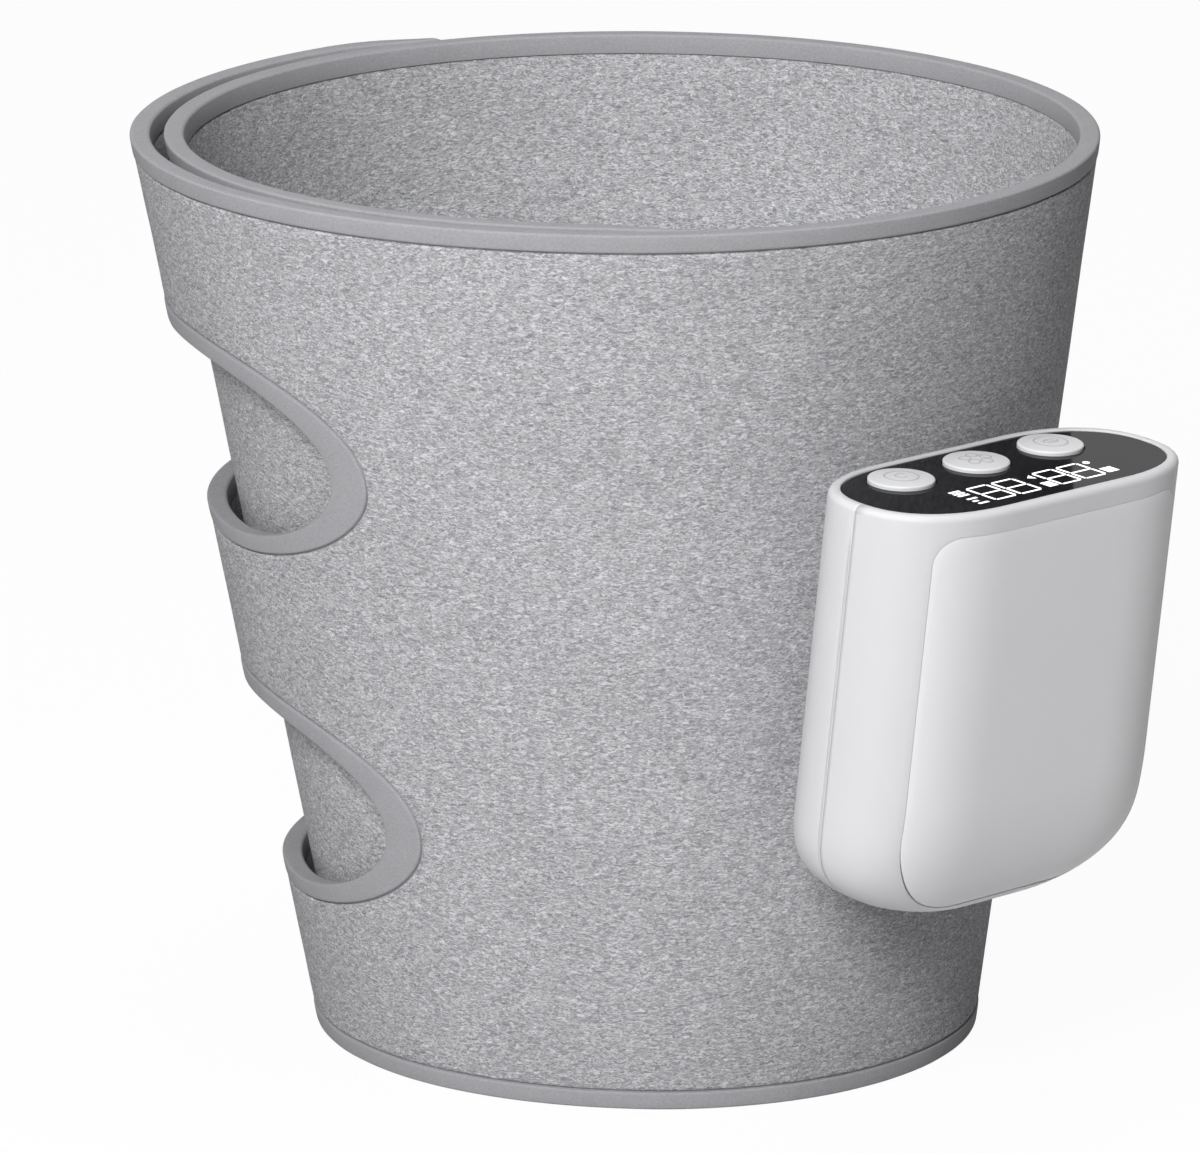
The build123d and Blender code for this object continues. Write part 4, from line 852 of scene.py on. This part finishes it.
def make_front_shell():
    # from the border to the cover's recess: rows of points across the remaining rim of the front
    outline = cover_outline(0.0)
    places = [outline_place(x, d) for x, d in outline]
    half = len(outline) // 2
    r1, r2 = COVER_CORNERS
    corner_one, corner_two = (nearest_place(outline[:half], COVER_HALF - CORNER_MIDDLE * r, depth)
                              for r, depth in ((r1, COVER_TOP + CORNER_MIDDLE * r1),
                                               (r2, COVER_BOTTOM - CORNER_MIDDLE * r2)))
    border = front_boundary(corner_one, corner_two - corner_one, half - corner_two)

    # the rim over the border, with a column at each of the border's points so that both join
    columns = [0.5 * i / corner_one for i in range(2 * corner_one + 1)]
    profile = rim_profile()
    points = []
    for p in columns:
        points += [rim_point(p, -1, i, d) for i, d in profile]
    faces = strip_faces(len(columns), len(profile))
    first = len(points)
    for (p0, w0), (p1, w1) in zip(border, places):
        for share in FRONT_SHARES:
            p, w = p0 + (p1 - p0) * share, w0 + (w1 - w0) * share
            points.append(housing(p, w, -1))
    rows = len(FRONT_SHARES)
    ring = []
    for grow, inset in RECESS_EDGE:
        ring.append([housing(*outline_place(x, d), -1, inset) for x, d in cover_outline(grow)])
    count = len(outline)
    # the front's last row lies on the outline grown by the recess's bevel
    for k in range(count):
        points[first + k * rows + rows - 1] = ring[0][k]
    faces += [(first + k * rows + r, first + k * rows + r + 1,
               first + (k + 1) % count * rows + r + 1, first + (k + 1) % count * rows + r)
              for k in range(count) for r in range(rows - 1)]
    previous = [first + k * rows + rows - 1 for k in range(count)]
    for loop in ring[1:]:
        start = len(points)
        points += loop
        current = [start + k for k in range(count)]
        faces += ring_faces(previous, current)
        previous = current
    fill(points, faces, previous, outline, COVER_RECESS)
    piece = mesh_piece("pump_front", place_pump(points), faces, SHELL, slot="white_plastic", sharp=50.0)
    solidify(piece, FRONT_WALL)
    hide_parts("front_shell")


def fill(points, faces, border, outline, inset, steps=12):
    """Closes a loop on the front with rings that shrink to its middle."""
    middle = (COVER_TOP + COVER_BOTTOM) / 2.0
    count = len(border)
    previous = border
    for step in range(1, steps):
        share = 1.0 - step / steps
        start = len(points)
        for x, d in outline:
            points.append(housing(*outline_place(x * share, middle + (d - middle) * share), -1, inset))
        current = [start + k for k in range(count)]
        faces += ring_faces(previous, current)
        previous = current
    points.append(housing(*outline_place(0.0, middle), -1, inset))
    last = len(points) - 1
    faces += [(previous[k], last, previous[(k + 1) % count]) for k in range(count)]


def make_cover():
    points, faces, loops = [], [], []
    for shrink, inset in COVER_EDGE:
        outline = cover_outline(-shrink, COVER_SLOT)
        loops.append(range(len(points), len(points) + len(outline)))
        points += [housing(*outline_place(x, d), -1, inset) for x, d in outline]
    for previous, current in zip(loops, loops[1:]):
        faces += ring_faces(previous, current)
    fill(points, faces, loops[0], cover_outline(-COVER_EDGE[0][0], COVER_SLOT), 0.0, steps=22)
    fill(points, faces, loops[-1], outline, COVER_BACK, steps=8)
    piece = mesh_piece("pump_cover", place_pump(points), faces, COVER, slot="cover_plastic", sharp=50.0)
    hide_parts("front_cover")


# ------------------------ display and icons
DIGITS = ((-12.5, -7.4), (-6.7, -1.5), (2.8, 7.8), (8.4, 13.6))     # each one's left and right side
DIGIT_SPAN = (3.0, 10.8)    # its two ends, as distances towards the front
MARKS = ((-16.2, -3.0, -13.8, -3.7), (-16.2, -4.1, -13.8, -4.8), (-16.2, -5.2, -13.8, -5.9),
         (-16.2, -7.4, -14.0, -8.0), (-16.2, -8.8, -15.0, -9.4), (-16.2, -10.2, -14.0, -10.8),
         (0.3, -8.0, 2.3, -10.5), (14.4, -7.8, 16.8, -10.3))
ARROW = [(0.7, -4.6), (1.9, -3.6), (1.9, -5.6)]
RING_PLACE, RING_RADII, RING_STEPS = (15.2, -3.9), (0.65, 0.3), 20
STROKE, STROKE_GAP = 0.5, 0.08
MARK_HEIGHT, MARK_THICKNESS = 0.03, 0.05
ICON_STROKE, ICON_RISE, ICON_ROOT = 0.34, 0.035, -0.04


def plate(points, faces, outline, top, thick):
    """Adds a thin flat plate with that outline, in the panel's frame, to a mesh."""
    first = len(points)
    count = len(outline)
    for height in (top, top - thick):
        points += [PANEL @ Vector((x, y, height)) for x, y in outline]
    faces.append(tuple(range(first, first + count)))
    faces.append(tuple(range(first + 2 * count - 1, first + count - 1, -1)))
    faces += [(first + k, first + count + k, first + count + (k + 1) % count, first + (k + 1) % count)
              for k in range(count)]


def ribbon_faces(a, b):
    """The four faces of a thin ribbon between two sections of four points."""
    return [(a, b, b + 2, a + 2), (a + 1, a + 3, b + 3, b + 1),
            (a, a + 1, b + 1, b), (a + 2, b + 2, b + 3, a + 3)]


def segment(x0, n0, x1, n1, wide):
    """A display segment with pointed ends; n is a distance towards the front."""
    a, b = Vector((x0, -n0)), Vector((x1, -n1))
    along = (b - a).normalized()
    across = Vector((-along.y, along.x)) * wide / 2.0
    tip = along * wide / 2.0
    a, b = a + along * STROKE_GAP, b - along * STROKE_GAP
    return [tuple(v) for v in (a, a + tip + across, b - tip + across, b, b - tip - across, a + tip - across)]


def digit(left, right, near, far):
    h = STROKE / 2.0
    x0, x1, n0, n1 = left + h, right - h, near + h, far - h
    middle = (n0 + n1) / 2.0
    level = [(x0, n, x1, n) for n in (n0, middle, n1)]
    sides = [(x, start, x, stop) for x in (x0, x1) for start, stop in ((n0, middle), (middle, n1))]
    return [segment(*ends, STROKE) for ends in level + sides]


def make_display():
    points, faces = [], []
    shapes = []
    for left, right in DIGITS:
        shapes += digit(left, right, *DIGIT_SPAN)
    shapes += [[(x0, y0), (x1, y0), (x1, y1), (x0, y1)] for x0, y0, x1, y1 in MARKS]
    shapes.append(ARROW)
    for shape in shapes:
        plate(points, faces, shape, -PANEL_RECESS + MARK_HEIGHT, MARK_THICKNESS)
    start = len(points)
    x, y = RING_PLACE
    for i in range(RING_STEPS):
        a = 2 * pi * i / RING_STEPS
        for r in RING_RADII:
            for h in (MARK_HEIGHT, MARK_HEIGHT - MARK_THICKNESS):
                points.append(PANEL @ Vector((x + r * cos(a), y + r * sin(a), -PANEL_RECESS + h)))
    for i in range(RING_STEPS):
        a, b = start + 4 * i, start + 4 * ((i + 1) % RING_STEPS)
        faces += ribbon_faces(a, b)
    mesh_piece("display_marks", points, faces, LIT, slot="display", sharp=30.0)


def dome(x):
    """The height of a button's crown at a distance from its middle."""
    flat = BUTTON_RADIUS - BUTTON_EDGE
    sphere = (flat ** 2 + BUTTON_CROWN ** 2) / (2.0 * BUTTON_CROWN)
    return BUTTON_PEAK - sphere + sqrt(sphere ** 2 - x ** 2)


def icon_line(points, faces, path, middle, closed):
    """A fine raised line on the crown of the button with its middle there."""
    count = len(path)
    first = len(points)
    for i, (x, y) in enumerate(path):
        before = Vector(path[i - 1] if closed or i else path[i])
        after = Vector(path[(i + 1) % count] if closed or i < count - 1 else path[i])
        along = (after - before).normalized()
        across = Vector((-along.y, along.x)) * ICON_STROKE / 2.0
        for side in (1, -1):
            spot = Vector((x, y)) + across * side
            for up in (ICON_RISE, ICON_ROOT):
                height = dome(spot.length) + up
                points.append(PANEL @ Vector((middle + spot.x, BUTTON_Y + spot.y, height)))
    for i in range(count if closed else count - 1):
        a, b = first + 4 * i, first + 4 * ((i + 1) % count)
        faces += ribbon_faces(a, b)
    if not closed:
        for a in (first, first + 4 * (count - 1)):
            faces.append((a, a + 2, a + 3, a + 1))


def circle(x, y, radius, start=0.0, stop=360.0, count=28, squeeze=1.0):
    steps = count if stop - start >= 360.0 else count + 1
    turns = [radians(start + (stop - start) * i / count) for i in range(steps)]
    return [(x + radius * cos(a), y + squeeze * radius * sin(a)) for a in turns]


def make_icons():
    icons = {"mode_button": [(circle(0, 0, 2.9, count=40), True), (circle(0, 0, 1.1, 20, 290), False)],
             "level_button": [(circle(2.0 * cos(a), 2.0 * sin(a), 1.0, count=18), True)
                              for a in (2 * pi * i / 5 for i in range(5))],
             "power_button": [(circle(0, 0, 2.9, count=40), True),
                              (circle(0, 0, 1.5, count=26, squeeze=0.6), True),
                              ([(-0.5, -0.5), (-0.5, 0.5)], False), ([(0.5, -0.5), (0.5, 0.5)], False)]}
    for name, paths in icons.items():
        points, faces = [], []
        for path, closed in paths:
            icon_line(points, faces, path, BUTTONS[name], closed)
        mesh_piece(f"{name}_icon", points, faces, ICON, body=name, slot="button_plastic")


# ------------------------ floor, light and camera
FLOOR_BOUNCE, FLOOR_SEEN = 0.53, 0.90       # the floor's colour for bounced light and for the camera
FLOOR_WHITE = 0.95          # the share of plain white in what the camera sees of the floor
FLOOR_HALF = 6.0
WORLD_COLOUR, WORLD_STRENGTH = (0.98, 0.985, 1.0, 1.0), 0.06
LAMPS = (("key", (-1.31, -0.92, 1.0), (0, 0, 0.08), 0.6, 29.0),
         ("side", (-1.42, 0.0, 1.27), (0, 0, 0.08), 0.6, 7.0),
         ("top", (0.1, 0.1, 1.9), (0, 0, 0.1), 1.2, 12.8))      # name, place, target, size, power
CAMERA_TURN, CAMERA_ELEVATION = 42.0, 15.157
CAMERA_TARGET, CAMERA_SHIFT = (-0.0038, 0.00342, 0.080), (-0.00550, -0.00023)
CAMERA_DISTANCE, CAMERA_LENS = 1.7733, 304.1


def make_stage():
    mesh = bpy.data.meshes.new("floor")
    corners = [(x * FLOOR_HALF, y * FLOOR_HALF, 0) for x, y in ((-1, -1), (1, -1), (1, 1), (-1, 1))]
    mesh.from_pydata(corners, [], [(0, 1, 2, 3)])
    floor = bpy.data.objects.new("floor", mesh)
    bpy.context.scene.collection.objects.link(floor)
    m = Nodes("floor")
    m.set(Roughness=0.9, Specular_IOR_Level=0.1)
    light_path = m.add("ShaderNodeLightPath")
    white = m.add("ShaderNodeEmission")
    white.inputs["Strength"].default_value = 1.0
    seen = m.math("MAXIMUM", light_path.outputs["Is Camera Ray"], light_path.outputs["Is Glossy Ray"])
    seen = m.math("MAXIMUM", seen, light_path.outputs["Is Transmission Ray"])
    m.colour(m.ramp(seen, (0.0, FLOOR_BOUNCE), (1.0, FLOOR_SEEN)))
    mixed = m.add("ShaderNodeMixShader")
    m.link(m.math("MULTIPLY", seen, FLOOR_WHITE), mixed.inputs["Fac"])
    m.link(m.shader.outputs["BSDF"], mixed.inputs[1])
    m.link(white.outputs["Emission"], mixed.inputs[2])
    m.link(mixed.outputs["Shader"], m.tree.nodes["Material Output"].inputs["Surface"])
    mesh.materials.append(m.material)


def make_world():
    world = bpy.data.worlds.new("studio")
    bpy.context.scene.world = world
    world.use_nodes = True
    tree = world.node_tree
    background = tree.nodes["Background"]
    background.inputs["Color"].default_value = WORLD_COLOUR
    background.inputs["Strength"].default_value = WORLD_STRENGTH
    white = tree.nodes.new("ShaderNodeBackground")
    white.inputs["Strength"].default_value = 1.0
    path = tree.nodes.new("ShaderNodeLightPath")
    mixed = tree.nodes.new("ShaderNodeMixShader")
    seen = tree.nodes.new("ShaderNodeMath")
    seen.operation = "MAXIMUM"
    tree.links.new(path.outputs["Is Camera Ray"], seen.inputs[0])
    tree.links.new(path.outputs["Is Glossy Ray"], seen.inputs[1])
    tree.links.new(seen.outputs["Value"], mixed.inputs["Fac"])
    tree.links.new(background.outputs["Background"], mixed.inputs[1])
    tree.links.new(white.outputs["Background"], mixed.inputs[2])
    tree.links.new(mixed.outputs["Shader"], tree.nodes["World Output"].inputs["Surface"])


def aim(obj, target):
    obj.rotation_euler = (Vector(target) - obj.location).to_track_quat("-Z", "Y").to_euler()


def lamp(name, place, target, size, power):
    light = bpy.data.lights.new(name, "AREA")
    light.shape = "DISK"
    light.size = size
    light.energy = power
    obj = bpy.data.objects.new(name, light)
    obj.location = place
    aim(obj, target)
    bpy.context.scene.collection.objects.link(obj)


def make_camera():
    turn, elevation = radians(CAMERA_TURN), radians(CAMERA_ELEVATION)
    back = Vector((-cos(elevation) * sin(turn), -cos(elevation) * cos(turn), sin(elevation)))
    right = Vector((cos(turn), -sin(turn), 0.0))
    up = right.cross(-back)
    target = Vector(CAMERA_TARGET) + right * CAMERA_SHIFT[0] + up * CAMERA_SHIFT[1]
    camera = bpy.data.cameras.new("camera")
    camera.sensor_width = 36.0
    camera.sensor_fit = "HORIZONTAL"
    camera.lens = CAMERA_LENS
    camera.clip_start, camera.clip_end = 0.1, 20.0
    obj = bpy.data.objects.new("camera", camera)
    obj.location = target + back * CAMERA_DISTANCE
    aim(obj, target)
    bpy.context.scene.collection.objects.link(obj)
    bpy.context.scene.camera = obj


make_body()
make_tapes()
make_tabs()
make_rear_shell()
make_front_shell()
make_cover()
make_display()
make_icons()
make_stage()
make_world()
for values in LAMPS:
    lamp(*values)
make_camera()
bpy.context.scene.view_settings.view_transform = "Standard"
